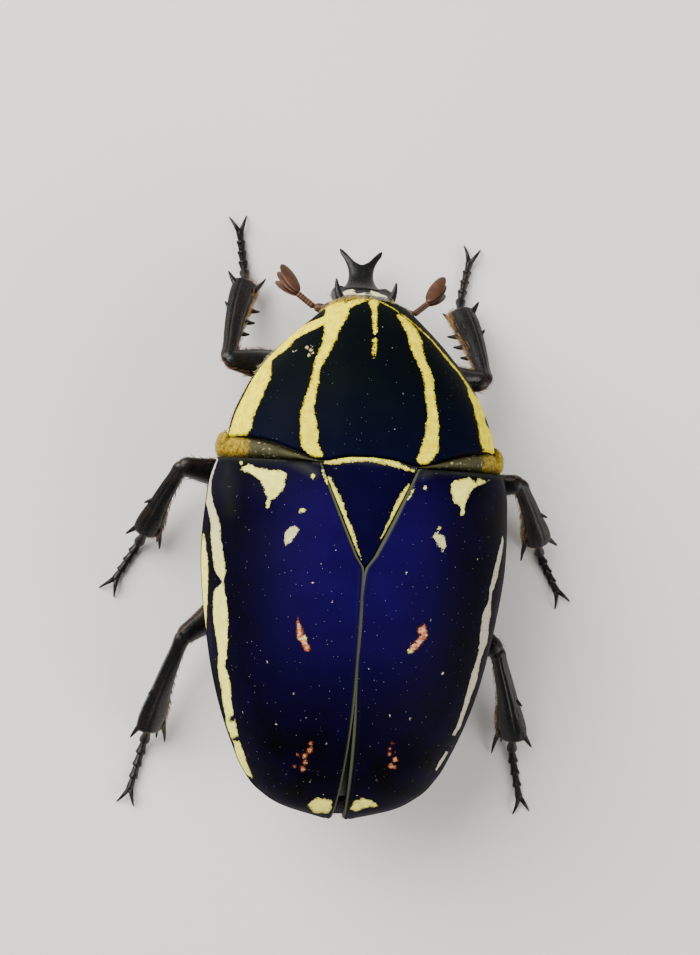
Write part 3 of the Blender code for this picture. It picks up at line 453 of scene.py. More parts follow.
def velvet(name, dark, deep, mark, mark_edge, specks):
    """The finish of the back: dark ground that turns to a deep colour, painted sheen of the structural
    colour, where the painted-sheen attribute is 1, and to olive where `olive` is 1, which holds olive beads
    and a painted olive sheen, powdery marks with ragged edges where `mark` is above 0, which turn rusty
    where `rust` is 1 and greyish where `pale` is 1, and scattered pale specks, some of them tiny."""
    f = Finish(name, 0.5, 0.02)
    grain, cloud = f.noise(9.0, 4.0, 0.6), f.noise(0.35, 2.0)
    # Painted sheen: the deep colour is painted in where the light catches the structural colour
    ground = f.blend(f.attribute("glow"), dark, deep)
    shade = f.step_up(f.added(grain, 0.4, cloud), 0.4, 1.0)
    ground = f.blend(f.times(shade, 0.5), ground, tuple(c * 0.4 for c in deep))
    # Olive: real olive beads and borders, and a painted olive sheen on the wing cases
    ground = f.blend(f.attribute("olive"), ground, (0.066, 0.078, 0.042))
    ragged = f.added(f.noise(7.0, 2.0, 0.6), 5.0, f.attribute("mark"))
    ragged = f.added(f.noise(1.8, 2.0), 4.0, ragged)
    marked = f.step_up(ragged, 4.25, 4.75)
    # Pale specks: scattered ones where the cloud is high, and tiny ones that a noise makes fainter or
    # stronger
    scattered_specks = f.times(f.pores(0.62, 0.05), f.step_up(cloud, 0.42, 0.52))
    tiny_specks = f.times(f.pores(1.8, 0.085), f.noise(0.9, 2.0))
    scattered_specks = f.times(f.maths("MAXIMUM", scattered_specks, tiny_specks), specks)
    ground = f.blend(scattered_specks, ground, (0.66, 0.66, 0.68))
    powder = f.blend(f.step_up(f.noise(1.4, 5.0, 0.7), 0.36, 0.62), mark_edge, mark)
    thin = f.step_up(f.added(f.noise(3.4, 2.0), 6.0, ragged), 7.6, 9.4)
    powder = f.blend(thin, tuple(0.62 * c for c in mark_edge), powder)
    tan = f.blend(f.step_up(f.noise(3.2, 3.0, 0.65), 0.38, 0.66), (0.3, 0.085, 0.03), (0.68, 0.44, 0.27))
    tan = f.blend(f.step_up(ragged, 5.2, 6.6), (0.1, 0.018, 0.006), tan)
    rusty = f.added(f.noise(2.6, 3.0, 0.6), 1.4, f.attribute("rust"))
    powder = f.blend(f.step_up(rusty, 0.9, 1.6), powder, tan)
    # A greyer, duller tone for the powder where `pale` is 1
    grey_tone = f.blend(f.step_up(grain, 0.35, 0.62), (0.3, 0.25, 0.16), (0.56, 0.54, 0.44))
    powder = f.blend(f.attribute("pale"), powder, grey_tone)
    colour = f.blend(marked, ground, powder)
    f.feed(f.shader, {"Base Color": colour, "Roughness": f.step_up(marked, 0.0, 1.0, 0.5, 0.85, "LINEAR")})
    f.relief(f.added(f.pores(2.6, 0.16), -0.5, f.added(grain, 0.25, marked)), 0.03)
    return f.material


def hair_finish(name, root_colour, tip_colour):
    """Stiff hair: two shades mixed by a cloudy pattern, with a soft gloss."""
    f = Finish(name, 0.45, 0.35, sheen=0.15)
    shade = f.step_up(f.noise(2.2, 4.0, 0.65), 0.35, 0.65)
    f.feed(f.shader, {"Base Color": f.blend(shade, root_colour, tip_colour)})
    return f.material


pronotum_finish = velvet(
    "pronotum_velvet", dark=(0.0016, 0.0035, 0.0026), deep=(0.0014, 0.0022, 0.015), mark=(0.95, 0.87, 0.0),
    mark_edge=(0.72, 0.58, 0.0), specks=0.6,
)


def pronotum_hind_edge(x):
    return smooth_curve(PRONOTUM_HIND_EDGE, np.abs(x))


def pronotum_rings(stations=170, arc=190):
    """Rings from the slanting front edge to the hind edge. Each is an arch whose half width and height
    follow the outline and the top, with x = half width * sign(c) |c|^0.86 and z = rise * s^0.86 for an angle
    over the back, and an inner arch the shell's thickness under it. Returns the rings and the distance in
    from the side edge."""
    share = np.linspace(0, 1, stations)[:, None] ** 1.15
    turn = np.linspace(0, math.pi, arc)[None]
    c, s = np.cos(turn), np.sin(turn).clip(0)
    half_width = PRONOTUM_HALF_WIDTH * smooth_curve(PRONOTUM_OUTLINE, share)
    side = smooth_curve(PRONOTUM_SIDE, share)
    top = PRONOTUM_HEIGHT * smooth_curve(PRONOTUM_TOP, share)
    x = half_width * powered(c, 0.86)
    z = side + (top - side) * s**0.86
    front = PRONOTUM_CORNER + (PRONOTUM_FRONT - PRONOTUM_CORNER) * s + 0 * share
    y = front + share * (pronotum_hind_edge(x) - front)
    outer = np.stack([x, y, z], axis=-1)
    from_left = distance_along(outer)
    edge = np.minimum(from_left, from_left[:, -1:] - from_left)
    closed = np.concatenate([outer, outer[:, ::-1] - (0, 0, 2 * PRONOTUM_SHELL)], axis=1)
    normals = ring_normals(closed)[:, :arc]
    normals *= np.sign((normals * (outer - (0, 0, -4.0))).sum(-1).mean())
    lengths = np.linalg.norm(np.diff(outer, axis=0), axis=-1).mean(1)
    along = np.concatenate([[0], np.cumsum(lengths)])
    from_end = np.minimum(along, along[-1] - along)[:, None]
    bead = 0.1 * bell(edge - 0.25, 0.22) - 0.07 * bell(edge - 0.75, 0.2)
    sink = rounding(np.minimum(from_end, edge), 0.25)
    inner = outer - normals * PRONOTUM_SHELL
    outer = outer + normals * (bead * clamp(from_end) - sink)[..., None]
    return np.concatenate([outer, inner[:, ::-1]], axis=1), edge


rings, side_distance = pronotum_rings()
arc = side_distance.shape[1]
places = photo_places(rings)
share_back = (rings[..., 1] - PRONOTUM_CORNER) / -PRONOTUM_CORNER
stripe_share, upper_x = share_back[:, :arc], rings[:, :arc, 0]
on_right = upper_x < 0
inner_edge, outer_edge = (
    np.where(on_right, smooth_curve(right_one, stripe_share), smooth_curve(left_one, stripe_share))
    for left_one, right_one in (
        (SIDE_STRIPE_INNER_LEFT, SIDE_STRIPE_INNER_RIGHT), (SIDE_STRIPE_OUTER_LEFT, SIDE_STRIPE_OUTER_RIGHT),
    )
)
side_stripe = 6 * np.minimum.reduce(
    [inner_edge - side_distance, side_distance - outer_edge, (SIDE_STRIPE_END - stripe_share) * 7]
)
from_front = np.linalg.norm(rings[:, :arc] - rings[:1, :arc], axis=-1)
front_width = np.where(on_right, FRONT_LINE_RIGHT, FRONT_LINE_LEFT)
front_line = np.minimum(front_width - from_front, side_distance - 3.4) * PIXELS_PER_MM
edge_ends = np.minimum(stripe_share - EDGE_LINE_START, EDGE_LINE_END - stripe_share) * 8
# On the right this edge line is partly a painted highlight along the rim
edge_line = np.minimum(EDGE_LINE_WIDTH - side_distance, edge_ends) * PIXELS_PER_MM
specks = stroke_depth(places, *[(speck,) for speck in PRONOTUM_SPECKS])
strokes = stroke_depth(places, DISC_STRIPE_LEFT, DISC_STRIPE_RIGHT, MEDIAN_LINE, MEDIAN_LINE_END)
mark = np.maximum(strokes, specks)
mark[:, :arc] = np.maximum.reduce([mark[:, :arc], side_stripe, front_line, edge_line])
mark[:, arc:] = -10
# Painted sheen: the structural blue is painted in towards the hind edge; the front stays black-green
glow = smooth_curve(((0, 0), (0.35, 0.02), (0.7, 0.45), (1, 1)), clamp(share_back))
add_piece(
    "pronotum_shield", "pronotum", "velvet_pronotum", rings, pronotum_finish, shell=True,
    mark=mark.clip(-10, 10), glow=glow, pale=0.8 * clamp(specks + 1.5),
)

# Golden bristles along the shield's front edge, thick on his left and thin on his right
gold_hair = hair_finish("gold_hair", (0.27, 0.17, 0.004), (0.58, 0.43, 0.025))
weight = bell(from_front, 0.5) * np.where(upper_x > 0.8, 1.0, 0.12)
grow_hair(
    "front_bristles", rings, weight, 520, 11, 0.8, 0.035, gold_hair, lift=0.8, spread=0.5,
    comb=lambda ways, roots: -ways,
)

# A longer, paler tuft that stands out from under the edge on his left
tuft_hair = hair_finish("tuft_hair", (0.5, 0.38, 0.05), (0.9, 0.82, 0.4))
weight = bell(from_front, 0.22) * np.interp(upper_x, (2, 3.2, 5.2, 6.6), (0, 1, 0.9, 0))
grow_hair(
    "front_tuft", rings, weight, 230, 15, 1.25, 0.04, tuft_hair, spread=0.7,
    comb=lambda ways, roots: (0.25, 0, 0) - unit(ways), bend=3,
)

# Short pale bristles along both side edges of the shield
pale_hair = hair_finish("pale_hair", (0.42, 0.4, 0.3), (0.8, 0.78, 0.66))
weight = bell(side_distance - 0.1, 0.14) * clamp((stripe_share - 0.05) * 8)
grow_hair(
    "rim_bristles", rings, weight, 900, 14, 0.42, 0.028, pale_hair, spread=0.4,
    comb=lambda ways, roots: unit(ways) + np.sign(roots[:, :1]) * (0.9, 0, 0) - (0, 0, 0.5),
)


# The wing cases are two domed shells that meet at the suture, behind the shield. Their velvet is painted
# deep blue over the middle, a painted sheen of its structural colour where the light catches the back, and
# painted black at the sides and tail as painted shade, with cream and rust marks and a cream stripe inside
# each outer edge.
GAP = 0.3
HALF_WIDTH, ELYTRA_LENGTH, ELYTRA_HEIGHT = 15.0, 35.3, 8.6
SHELL, RIM_DEPTH, RIM_BEVEL = 0.6, 0.8, 0.15
SUTURE_GAP, TIP_SPREAD, TAIL_START = 0.006, 0.56, 0.6
SCUTELLUM_HALF_WIDTH, SCUTELLUM_TIP = 4.4, 9.9
DOME_POWERS = (2.3, 0.6)
# Low bumps of the back, as (height, x, y, spread)
BACK_BUMPS = ((0.5, 10.6, 3.6, 5.0), (0.55, 7.6, 28.3, 6.5))
# Outline and top are shares of half width and height, and the rim is in millimetres, at shares of the way
# back
ELYTRA_OUTLINE = (
    (0, 0.955), (0.05, 0.99), (0.12, 1.006), (0.2, 1.016), (0.28, 1.014), (0.4, 0.983), (0.5, 0.944),
    (0.62, 0.882), (0.73, 0.8), (0.8, 0.732), (0.87, 0.65), (0.93, 0.53), (0.97, 0.37), (1.0, 0.12),
)
ELYTRA_TOP = (
    (0, 0.93), (0.1, 0.975), (0.25, 1.0), (0.45, 0.985), (0.6, 0.92), (0.72, 0.8), (0.83, 0.6),
    (0.92, 0.34), (0.97, 0.13), (1.0, -0.06),
)
ELYTRA_RIM = ((0, 0.5), (0.1, 0.1), (0.3, -0.25), (0.7, -0.3), (0.9, -0.7), (1.0, -1.5))

# Outlines of the cream patches, and strokes of the other marks, in the photograph's pixels
SHOULDER_PATCHES = (
    ((239, 470), (248, 464), (259, 468), (270, 470), (282, 471), (287, 475), (283, 490), (275, 498),
     (270, 500), (269, 509), (266, 508), (267, 498), (264, 489), (260, 480), (249, 473)),
    ((451, 485), (454, 481), (469, 478), (476, 483), (478, 478), (489, 481), (483, 484), (474, 488),
     (469, 495), (465, 507), (464, 515), (461, 515), (461, 508), (454, 502), (451, 492)),
)
COMMAS = (
    ((295, 526), (299, 530), (292, 541), (286, 546), (284, 542), (285, 532), (289, 528)),
    ((437, 532), (444, 537), (446, 546), (443, 553), (440, 547), (437, 543), (434, 540), (432, 537)),
)
TIP_PATCHES = (
    ((312, 801), (316, 798), (331, 800), (332, 807), (329, 813), (314, 813), (308, 805)),
    ((350, 809), (353, 802), (362, 798), (371, 800), (378, 806), (368, 807), (355, 812)),
)
# Small cream dots; the one at (241, 463) is a painted glint
BACK_DOTS = (
    (302, 510, 3.0), (440, 528, 1.8), (241, 463, 1.6), (313, 476, 2.4), (425, 488, 2.0), (408, 476, 1.6),
)
CREAM_STREAKS = (
    ((304, 637, 2.3), (305, 640, 1.8)), ((308, 648.5, 1.9),), ((416, 643.5, 1.8), (410.5, 651.5, 3)),
    ((425.5, 632, 0.8),),
)
RUST_STREAKS = (
    ((297.5, 617, 0.7), (298.5, 626, 3), (300.5, 635, 4.2), (304.5, 644, 3.3), (307.5, 649, 3.2)),
    ((424.5, 625, 1.5), (422.5, 631, 5.2), (425, 635, 3.6), (420, 641, 3.8), (414, 647, 3.6), (411, 651, 3)),
)
RUST_BEADS = (
    (310.4, 743.3, 2.7), (309.8, 750, 3), (304.5, 756, 2.9), (304.8, 762.6, 3), (302.6, 769, 3),
    (297.4, 755, 1.6), (294.7, 767, 1.8), (392.5, 743.5, 1.6), (390, 749, 2), (389.5, 754, 2.2),
    (395, 752, 1.4), (395.2, 759.3, 2.9), (390.8, 766, 2.9), (394, 767.5, 2.5),
)
PALE_SPECKS = (
    (276, 724), (326, 744), (267, 662), (250, 676), (311, 687), (294, 694), (310, 781), (332, 601),
    (313, 583), (443, 673), (395, 659), (426, 717), (410, 719), (377, 780), (390, 716), (431, 620),
    (478, 559), (407, 573), (396, 611), (357, 796),
)
SPECK_SIZE = 0.7
# The yellow lines on both sides of the scutellum and before it
SCUTELLUM_LINES = (
    ((329, 478, 1.5), (333, 487, 2.5), (338, 498, 2.8), (345, 516, 2.6), (353, 537, 1.8), (358, 551, 1.2),
     (361.5, 560, 0.6)),
    ((409, 485, 1.2), (403, 495, 2.9), (396.5, 508, 2.6), (391, 519, 1.9), (386, 529, 1.1), (381, 539, 0.3)),
    ((326, 462.5, 1.3), (338, 461.5, 2.8), (350, 459, 2.9), (368, 459, 2.7), (382, 461, 2.6),
     (395, 464.3, 2.8), (405, 467.8, 2.0), (414, 470.5, 1.0)),
)
# The cream side stripes' outer and inner distances from the rim, in millimetres, at shares of the way back
STRIPE_OUTER_LEFT = (
    (0, 0), (0.08, 0.1), (0.124, 0.6), (0.168, 1.99), (0.235, 2.76), (0.287, 3.19), (0.315, 3.47),
    (0.343, 4.43), (0.366, 3.33), (0.398, 2.92), (0.452, 2.63), (0.552, 2.64), (0.577, 2.25), (0.644, 2.02),
    (0.68, 1.63), (0.704, 1.49), (0.754, 0.92), (0.806, 0.95), (0.845, 0.2), (0.876, 0.2), (0.892, 1.21),
    (0.92, 1.5),
)
STRIPE_INNER_LEFT = (
    (0, 1.0), (0.04, 1.15), (0.08, 1.3), (0.1, 1.6), (0.124, 2.19), (0.168, 3.49), (0.23, 4.28),
    (0.282, 4.83), (0.315, 5), (0.343, 4.71), (0.393, 4.97), (0.478, 4.71), (0.548, 4.04), (0.577, 3.59),
    (0.603, 3.9), (0.64, 3.66), (0.7, 3.1), (0.747, 2.8), (0.777, 2.46), (0.835, 2.23), (0.869, 1.8),
    (0.892, 1.4), (0.92, 0.3),
)
STRIPE_OUTER_RIGHT = (
    (0.15, 3), (0.182, 2.37), (0.206, 2.43), (0.254, 3.08), (0.287, 3.32), (0.32, 3.88), (0.352, 4.01),
    (0.389, 3.46), (0.42, 3.43), (0.469, 2.74), (0.496, 3.09), (0.53, 3.3), (0.569, 2.86), (0.64, 2.94),
    (0.68, 2.71), (0.716, 2.49), (0.735, 2.84), (0.792, 2.29), (0.838, 2.48), (0.86, 2.6),
)
STRIPE_INNER_RIGHT = (
    (0.15, 2.3), (0.182, 3.07), (0.206, 3.53), (0.254, 4.27), (0.287, 4.56), (0.32, 4.86), (0.352, 4.71),
    (0.384, 5.26), (0.42, 5.22), (0.469, 4.73), (0.53, 4.48), (0.565, 4.66), (0.59, 4.58), (0.64, 4.15),
    (0.676, 3.89), (0.735, 3.62), (0.788, 3.24), (0.838, 2.95), (0.88, -0.5),
)
# The beads along the suture, in millimetres at shares of the way back: the left one covers the right one's
# where the wing cases meet
SUTURE_BEAD_LEFT = ((0, 0.22), (0.3, 0.23), (0.6, 0.23), (0.75, 0.19), (1, 0.15))
SUTURE_BEAD_RIGHT = ((0, 0.22), (0.27, 0.22), (0.33, 0.05), (0.58, 0.05), (0.68, 0.19), (1, 0.15))
STRIPE_BREAKS = (
    ((232.5, 718.5, 3.0), (236, 716, 2.0)), ((235, 739, 2.0), (241, 738, 2.6)),
    ((452.5, 739, 4.0), (449, 748, 4.0)),
)
# How worn and dull the stripes' powder is, at shares of the way back
STRIPE_WEAR_LEFT = ((0, 0.9), (0.15, 0.75), (0.25, 0.45), (0.35, 0.15), (0.5, 0), (1, 0))
STRIPE_WEAR_RIGHT = ((0, 1), (0.4, 1), (0.6, 0.95), (1, 0.9))
# A narrow yellowish line on the rim itself: how far it reaches in, at shares of the way back. It is thinner
# and greyer on the right, and the right stripe is slimmer by RIGHT_SLIMMER pixels on each side.
RIGHT_SLIMMER, RIGHT_RIM_LINE = 0.9, 0.3
RIM_LINE_START, RIM_LINE_END = 0.22, 0.68
RIM_LINE = ((0.2, 1.2), (0.23, 1.46), (0.287, 2.16), (0.4, 1.75), (0.469, 0.9), (0.52, 0.4), (0.7, 0.3))
# Pale glints on the wing cases' beads beside the scutellum
BEAD_GLINTS = (((322.5, 471, 1.1), (327.5, 484, 0.7)), ((414, 489, 0.8), (408, 500, 0.6)))
# How strongly blue sheen is painted into the ground, with painted shade where it is 0, at millimetres from
# the middle and at shares of the way back
PAINTED_SHEEN_ACROSS = ((0, 1), (4, 1), (7.5, 0.66), (10, 0.2), (12.5, 0.03), (15, 0))
PAINTED_SHEEN_ALONG = ((0, 0.2), (0.08, 0.8), (0.25, 1), (0.45, 0.8), (0.6, 0.3), (0.72, 0.06), (1, 0))
# Strokes where a soft olive sheen is painted into the ground, a painted highlight, beside the scutellum and
# on the left shoulder
PAINTED_OLIVE_SHEEN = (
    ((284, 459, 8), (300, 463, 11), (314, 473, 9)), ((452, 463, 8), (437, 466, 11), (422, 476, 8)),
    ((228, 462, 16), (226, 486, 20), (230, 510, 14)),
)


def elytra_share(y):
    return (np.asarray(y, float) - ELYTRA_START) / (ELYTRA_LENGTH - ELYTRA_START)


def elytra_half_width(y):
    return HALF_WIDTH * smooth_curve(ELYTRA_OUTLINE, elytra_share(y))


def rim_height(y):
    return smooth_curve(ELYTRA_RIM, elytra_share(y))


def back_height(x, y, inset=0.0):
    """Height of the back: rim + (top - rim) (1 - out^2.3)^0.6, where out is the share of the way to the
    side, with a bump at each shoulder and one before each tip. An inset draws the dome in by that much."""
    tail = clamp((elytra_share(y) - TAIL_START) / (1 - TAIL_START))
    rim = rim_height(y)
    top = ELYTRA_HEIGHT * smooth_curve(ELYTRA_TOP, elytra_share(y + inset * tail)) - inset
    top = np.maximum(top, rim - 0.3)
    out = clamp(np.abs(x) / (elytra_half_width(y) - inset))
    across_power, height_power = DOME_POWERS
    dome = rim + (top - rim) * (1 - out**across_power) ** height_power
    bumps = sum(
        height * np.exp(-((np.abs(x) - at_x) ** 2 + (y - at_y) ** 2) / spread)
        for height, at_x, at_y, spread in BACK_BUMPS
    )
    return dome + bumps * (1 - out**6) * (1 - inset / (SHELL + GAP))


def scutellum_half_width(y):
    share = clamp(np.asarray(y, float) / SCUTELLUM_TIP)
    return SCUTELLUM_HALF_WIDTH * (1 - share**1.08)


def elytron_rings(side, stations=250, over=165, edge=6, under=60):
    """Rings of one wing case from front to tip. A ring runs from the suture over the back to the side with
    x = half width * sin(angle) and z = back_height, down the rim, and back along the inner face. Returns the
    rings, the distance from the inner edge and the distance in from the outer rim along the surface."""
    back = 1 - (1 - np.linspace(0, 1, stations)[:, None]) ** 1.25
    y = ELYTRA_START + back * (ELYTRA_LENGTH - ELYTRA_START)
    width, rim = elytra_half_width(y), rim_height(y)
    tail = clamp((y / ELYTRA_LENGTH - TAIL_START) / (1 - TAIL_START))
    beside_scutellum = scutellum_half_width(y) + 0.32 * clamp((SCUTELLUM_TIP + 0.6 - y) / 1.6)
    inner = np.maximum(beside_scutellum, SUTURE_GAP + TIP_SPREAD * tail**1.5)
    start = np.arcsin(np.minimum(inner / width, 0.9))
    above_x = width * np.sin(start + np.linspace(0, 1, over) ** 1.6 * (math.pi / 2 - start))
    start_under = np.arcsin(np.minimum(inner / (width - SHELL), 0.9))
    below_x = (width - SHELL) * np.sin(start_under + np.linspace(1, 0, under) * (math.pi / 2 - start_under))
    drop = np.linspace(0, 1, edge + 2)[1:-1]
    edge_x = width - RIM_BEVEL * drop**2
    x = np.concatenate([above_x, edge_x, below_x], axis=1)
    above_z, below_z = back_height(above_x, y), back_height(below_x, y, SHELL)
    z = np.concatenate([above_z, rim - RIM_DEPTH * drop, below_z], axis=1)
    rings = np.stack([side * x, np.broadcast_to(y, x.shape), z], axis=-1)
    run = distance_along(rings)
    return rings, run, run[:, over - 1 : over] - run


def build_wing_case(side_name, side):
    """One wing case: the plain shell, then its beads along suture and rim set along the normals."""

    def by_side(left_one, right_one, at):
        return smooth_curve(left_one if side > 0 else right_one, at)

    rings, suture, rim = elytron_rings(side)
    normals = ring_normals(rings) * -side
    normals[:, 0] = normals[:, 2]
    outside = rim > 0
    bead_width = by_side(SUTURE_BEAD_LEFT, SUTURE_BEAD_RIGHT, elytra_share(rings[..., 1]))
    bead = 0.1 * np.exp(-((suture / bead_width) ** 4)) - 0.08 * bell(suture - bead_width - 0.18, 0.12)
    rim_bead = 0.12 * bell(rim - 0.1, 0.3) - 0.05 * bell(rim - 0.8, 0.2)
    front = rings[..., 1] - ELYTRA_START
    rings = rings + normals * np.where(outside, bead + rim_bead - rounding(front, 0.3), 0.0)[..., None]
    places = photo_places(rings)
    share = elytra_share(rings[..., 1])
    specks = stroke_depth(places, *[((u, v, SPECK_SIZE),) for u, v in PALE_SPECKS])
    commas = patch_depth(places, *COMMAS)
    dots = [(dot,) for dot in BACK_DOTS]
    cream = np.maximum.reduce([
        patch_depth(places, *SHOULDER_PATCHES, *TIP_PATCHES), commas, specks,
        stroke_depth(places, *BEAD_GLINTS, *CREAM_STREAKS, *dots),
    ])
    rust = stroke_depth(places, *RUST_STREAKS, *[(bead,) for bead in RUST_BEADS])
    outer_edge = by_side(STRIPE_OUTER_LEFT, STRIPE_OUTER_RIGHT, share)
    inner_edge = by_side(STRIPE_INNER_LEFT, STRIPE_INNER_RIGHT, share)
    slimmer = 0 if side > 0 else RIGHT_SLIMMER
    stripe = np.minimum(rim - outer_edge, inner_edge - rim) * PIXELS_PER_MM - slimmer
    stripe = np.minimum(stripe, -stroke_depth(places, *STRIPE_BREAKS))
    rim_reach = smooth_curve(RIM_LINE, share) * (1 if side > 0 else RIGHT_RIM_LINE)
    rim_ends = np.minimum(share - RIM_LINE_START, RIM_LINE_END - share) * 10
    rim_line = np.minimum(rim_reach - rim, rim_ends) * PIXELS_PER_MM
    mark = np.where(outside, np.maximum.reduce([cream, rust, stripe, rim_line]), -10)
    worn = clamp(by_side(STRIPE_WEAR_LEFT, STRIPE_WEAR_RIGHT, share))
    worn = worn * (np.maximum(stripe, rim_line) > cream) * ((stripe > rim_line) | (side < 0))
    olive = np.exp(-((suture / bead_width) ** 6)) * outside
    olive = np.maximum(olive, 0.24 * bell(front, 0.3))
    # Painted highlight: olive sheen painted beside the scutellum and on the left shoulder
    sheen = clamp(stroke_depth(places, *PAINTED_OLIVE_SHEEN[:2]) / 9) ** 1.5 * 0.3
    soft_sheen = clamp(stroke_depth(places, PAINTED_OLIVE_SHEEN[2]) / 17) ** 1.5 * 0.09
    # Painted sheen: blue where light catches the back, painted shade at the sides, sooner on the right
    x = np.abs(rings[..., 0]) * (1.0 if side > 0 else 1.12)
    glow = smooth_curve(PAINTED_SHEEN_ACROSS, x) * smooth_curve(PAINTED_SHEEN_ALONG, share)
    add_piece(
        f"wing_case_{side_name}", f"elytron_{side_name}", "velvet_wing_case", rings, elytra_finish,
        shell=True, mark=mark.clip(-10, 10), glow=clamp(glow),
        rust=clamp(rust - np.maximum(cream, stripe) + 0.5),
        olive=np.maximum(olive, (sheen + soft_sheen) * outside),
        pale=np.maximum.reduce([clamp(specks + 1.5), 0.6 * clamp(commas + 1.5), worn]),
    )


SIDES = (("left", 1.0), ("right", -1.0))
elytra_finish = velvet(
    "wing_case_velvet", dark=(0.001, 0.0011, 0.0016), deep=(0.0058, 0.0, 0.055), mark=(0.95, 0.94, 0.17),
    mark_edge=(0.76, 0.74, 0.14), specks=1.0,
)
for side_name, side in SIDES:
    build_wing_case(side_name, side)


# The scutellum is the long triangle between the bases of the wing cases: a hard, dark blue plate with a
# slight crown, a yellow powdery line down each side and a cream one along its front edge.
SCUTELLUM_OPENING = 0.24


def scutellum_rings(stations=110, across=110):
    """A thin plate over the triangle: x = turn * half width, y from the pronotum's hind edge to the tip, and
    z the back's height with a low crown (1 - turn^2), its edges sunk round. The under side lies 0.5 mm
    lower."""
    share = np.linspace(0, 0.985, stations)[:, None]
    turn = np.sin(np.linspace(-math.pi / 2, math.pi / 2, across))[None]
    reach = SCUTELLUM_TIP * share
    opening = SCUTELLUM_OPENING * clamp((1 - share) / 0.09)
    half_width = scutellum_half_width(reach) + opening
    x = turn * half_width
    y = reach + (1 - share) * (pronotum_hind_edge(x) + 0.12)
    edge = np.minimum(half_width - np.abs(x), (y - y[:1]) + 0.02)
    z = back_height(x, np.maximum(y, ELYTRA_START)) + 0.02 + 0.12 * (1 - turn**2) * (1 - share)
    upper = np.stack([x, y, z - rounding(edge, 0.2)], axis=-1)
    return np.concatenate([upper, upper[:, ::-1] - (0, 0, 0.5)], axis=1), across


scutellum_finish = velvet(
    "scutellum_velvet", dark=(0.0012, 0.0011, 0.007), deep=(0.0022, 0.0005, 0.022), mark=(0.92, 0.87, 0.09),
    mark_edge=(0.72, 0.66, 0.07), specks=0.3,
)
rings, across_count = scutellum_rings()
mark = stroke_depth(photo_places(rings), *SCUTELLUM_LINES)
mark[:, across_count:] = -10
# Painted sheen: the blue is painted brightest along the middle and darker towards the side edges
add_piece(
    "scutellum_plate", "scutellum", "velvet_wing_case", rings, scutellum_finish, shell=True,
    mark=mark.clip(-10, 10), glow=smooth_curve(((0, 1), (0.6, 0.7), (1, 0.2)), np.abs(rings[..., 0]) / 4.6),
    olive=0.3 * bell(rings[..., 1] + 0.3, 0.4),
)
from_front = np.linalg.norm(rings - rings[:1], axis=-1)[:, :across_count]
grow_hair(
    "scutellum_fringe", rings, bell(from_front, 0.35), 300, 12, 0.3, 0.02, pale_hair,
    lift=0.2, spread=0.25,
)


# The shoulder plates fill the wedge between shield and wing cases: amber chitin under golden hair at the
# outer end, and an olive strip with pale punctures that narrows towards the scutellum. They are parts of the
# thorax.
PLATE_INNER, PLATE_OUTER = 4.5, 14.35
GOLD_START, GOLD_FADE = 10.9, 1.6


def shoulder_plate_rings(side, stations=130, around=48):
    """Rounded bars across the body: rings in the y-z plane with half widths that follow the wedge between
    the shield's hind edge and the wing case's front edge, squared off by the power 0.75."""
    x = (PLATE_INNER + (PLATE_OUTER - PLATE_INNER) * np.linspace(0, 1, stations))[:, None]
    turn = full_turn(around)
    share = clamp((x - 8.6) / 5.2)
    corner = clamp((x - 13.1) / 0.45) ** 2 * clamp((14.75 - x) / 1.2)
    front = pronotum_hind_edge(x) + 0.1 - 0.85 * corner
    back = np.full_like(x, ELYTRA_START - 0.05)
    top = back_height(np.minimum(x, 13.2), ELYTRA_START) - 0.18 - 1.3 * share**3
    low = np.minimum(top - 1.2, -0.4 - 2.6 * share)
    end = np.sqrt(np.clip(1 - clamp((x - PLATE_OUTER + 0.9) / 0.92) ** 3.5, 0.02, 1))
    c, s = np.cos(turn), np.sin(turn)
    y = (front + back) / 2 + end * (back - front) / 2 * powered(c, 0.75)
    z = (top + low) / 2 + end * (top - low) / 2 * powered(s, 0.75)
    return np.stack([side * x + 0 * y, y, z], axis=-1)


amber = Finish("amber_shoulder", 0.6, 0.14)
amber_colour = amber.blend(
    amber.step_up(amber.noise(2.5, 4.0), 0.35, 0.65), (0.12, 0.07, 0.004), (0.4, 0.28, 0.012),
)
olive_dots = amber.times(amber.pores(2.1, 0.42), amber.step_up(amber.noise(1.7, 2.0), 0.4, 0.55))
olive_ground = amber.blend(amber.noise(1.2), (0.014, 0.019, 0.008), (0.08, 0.07, 0.03))
olive_colour = amber.blend(olive_dots, olive_ground, (0.48, 0.46, 0.28))
golden = amber.step_up(amber.added(amber.noise(2.0), 0.9, amber.attribute("gold")), 0.6, 1.2)
amber.feed(amber.shader, {"Base Color": amber.blend(golden, olive_colour, amber_colour)})
amber.relief(amber.added(olive_dots, -0.7, amber.noise(5.0)), 0.05)
for side_name, side in SIDES:
    rings = shoulder_plate_rings(side)
    out, height = np.abs(rings[..., 0]), rings[..., 2]
    gold = clamp((out - GOLD_START) / GOLD_FADE)
    node = f"mesepimeron_{side_name}"
    add_piece(f"shoulder_plate_{side_name}", node, "amber_plate", rings, amber.material, gold=gold)
    grow_hair(
        f"shoulder_hair_{side_name}", rings, gold**2 * (height > -2), 2600, 13, 0.5, 0.032,
        gold_hair, lift=0.4, comb=lambda ways, roots: ways + (0, 0.4, -0.2),
    )
    hind_edge = bell(rings[..., 1] - ELYTRA_START + 0.15, 0.14) * (height > height.mean(1)[:, None])
    weight = hind_edge * clamp((out - 8.6) / 2)
    grow_hair(
        f"shoulder_fringe_{side_name}", rings, weight, 420, 16, 0.36, 0.028, tuft_hair,
        lift=0.3, comb=lambda ways, roots: ways * 0.3 + (0, 1.0, 0.1),
    )


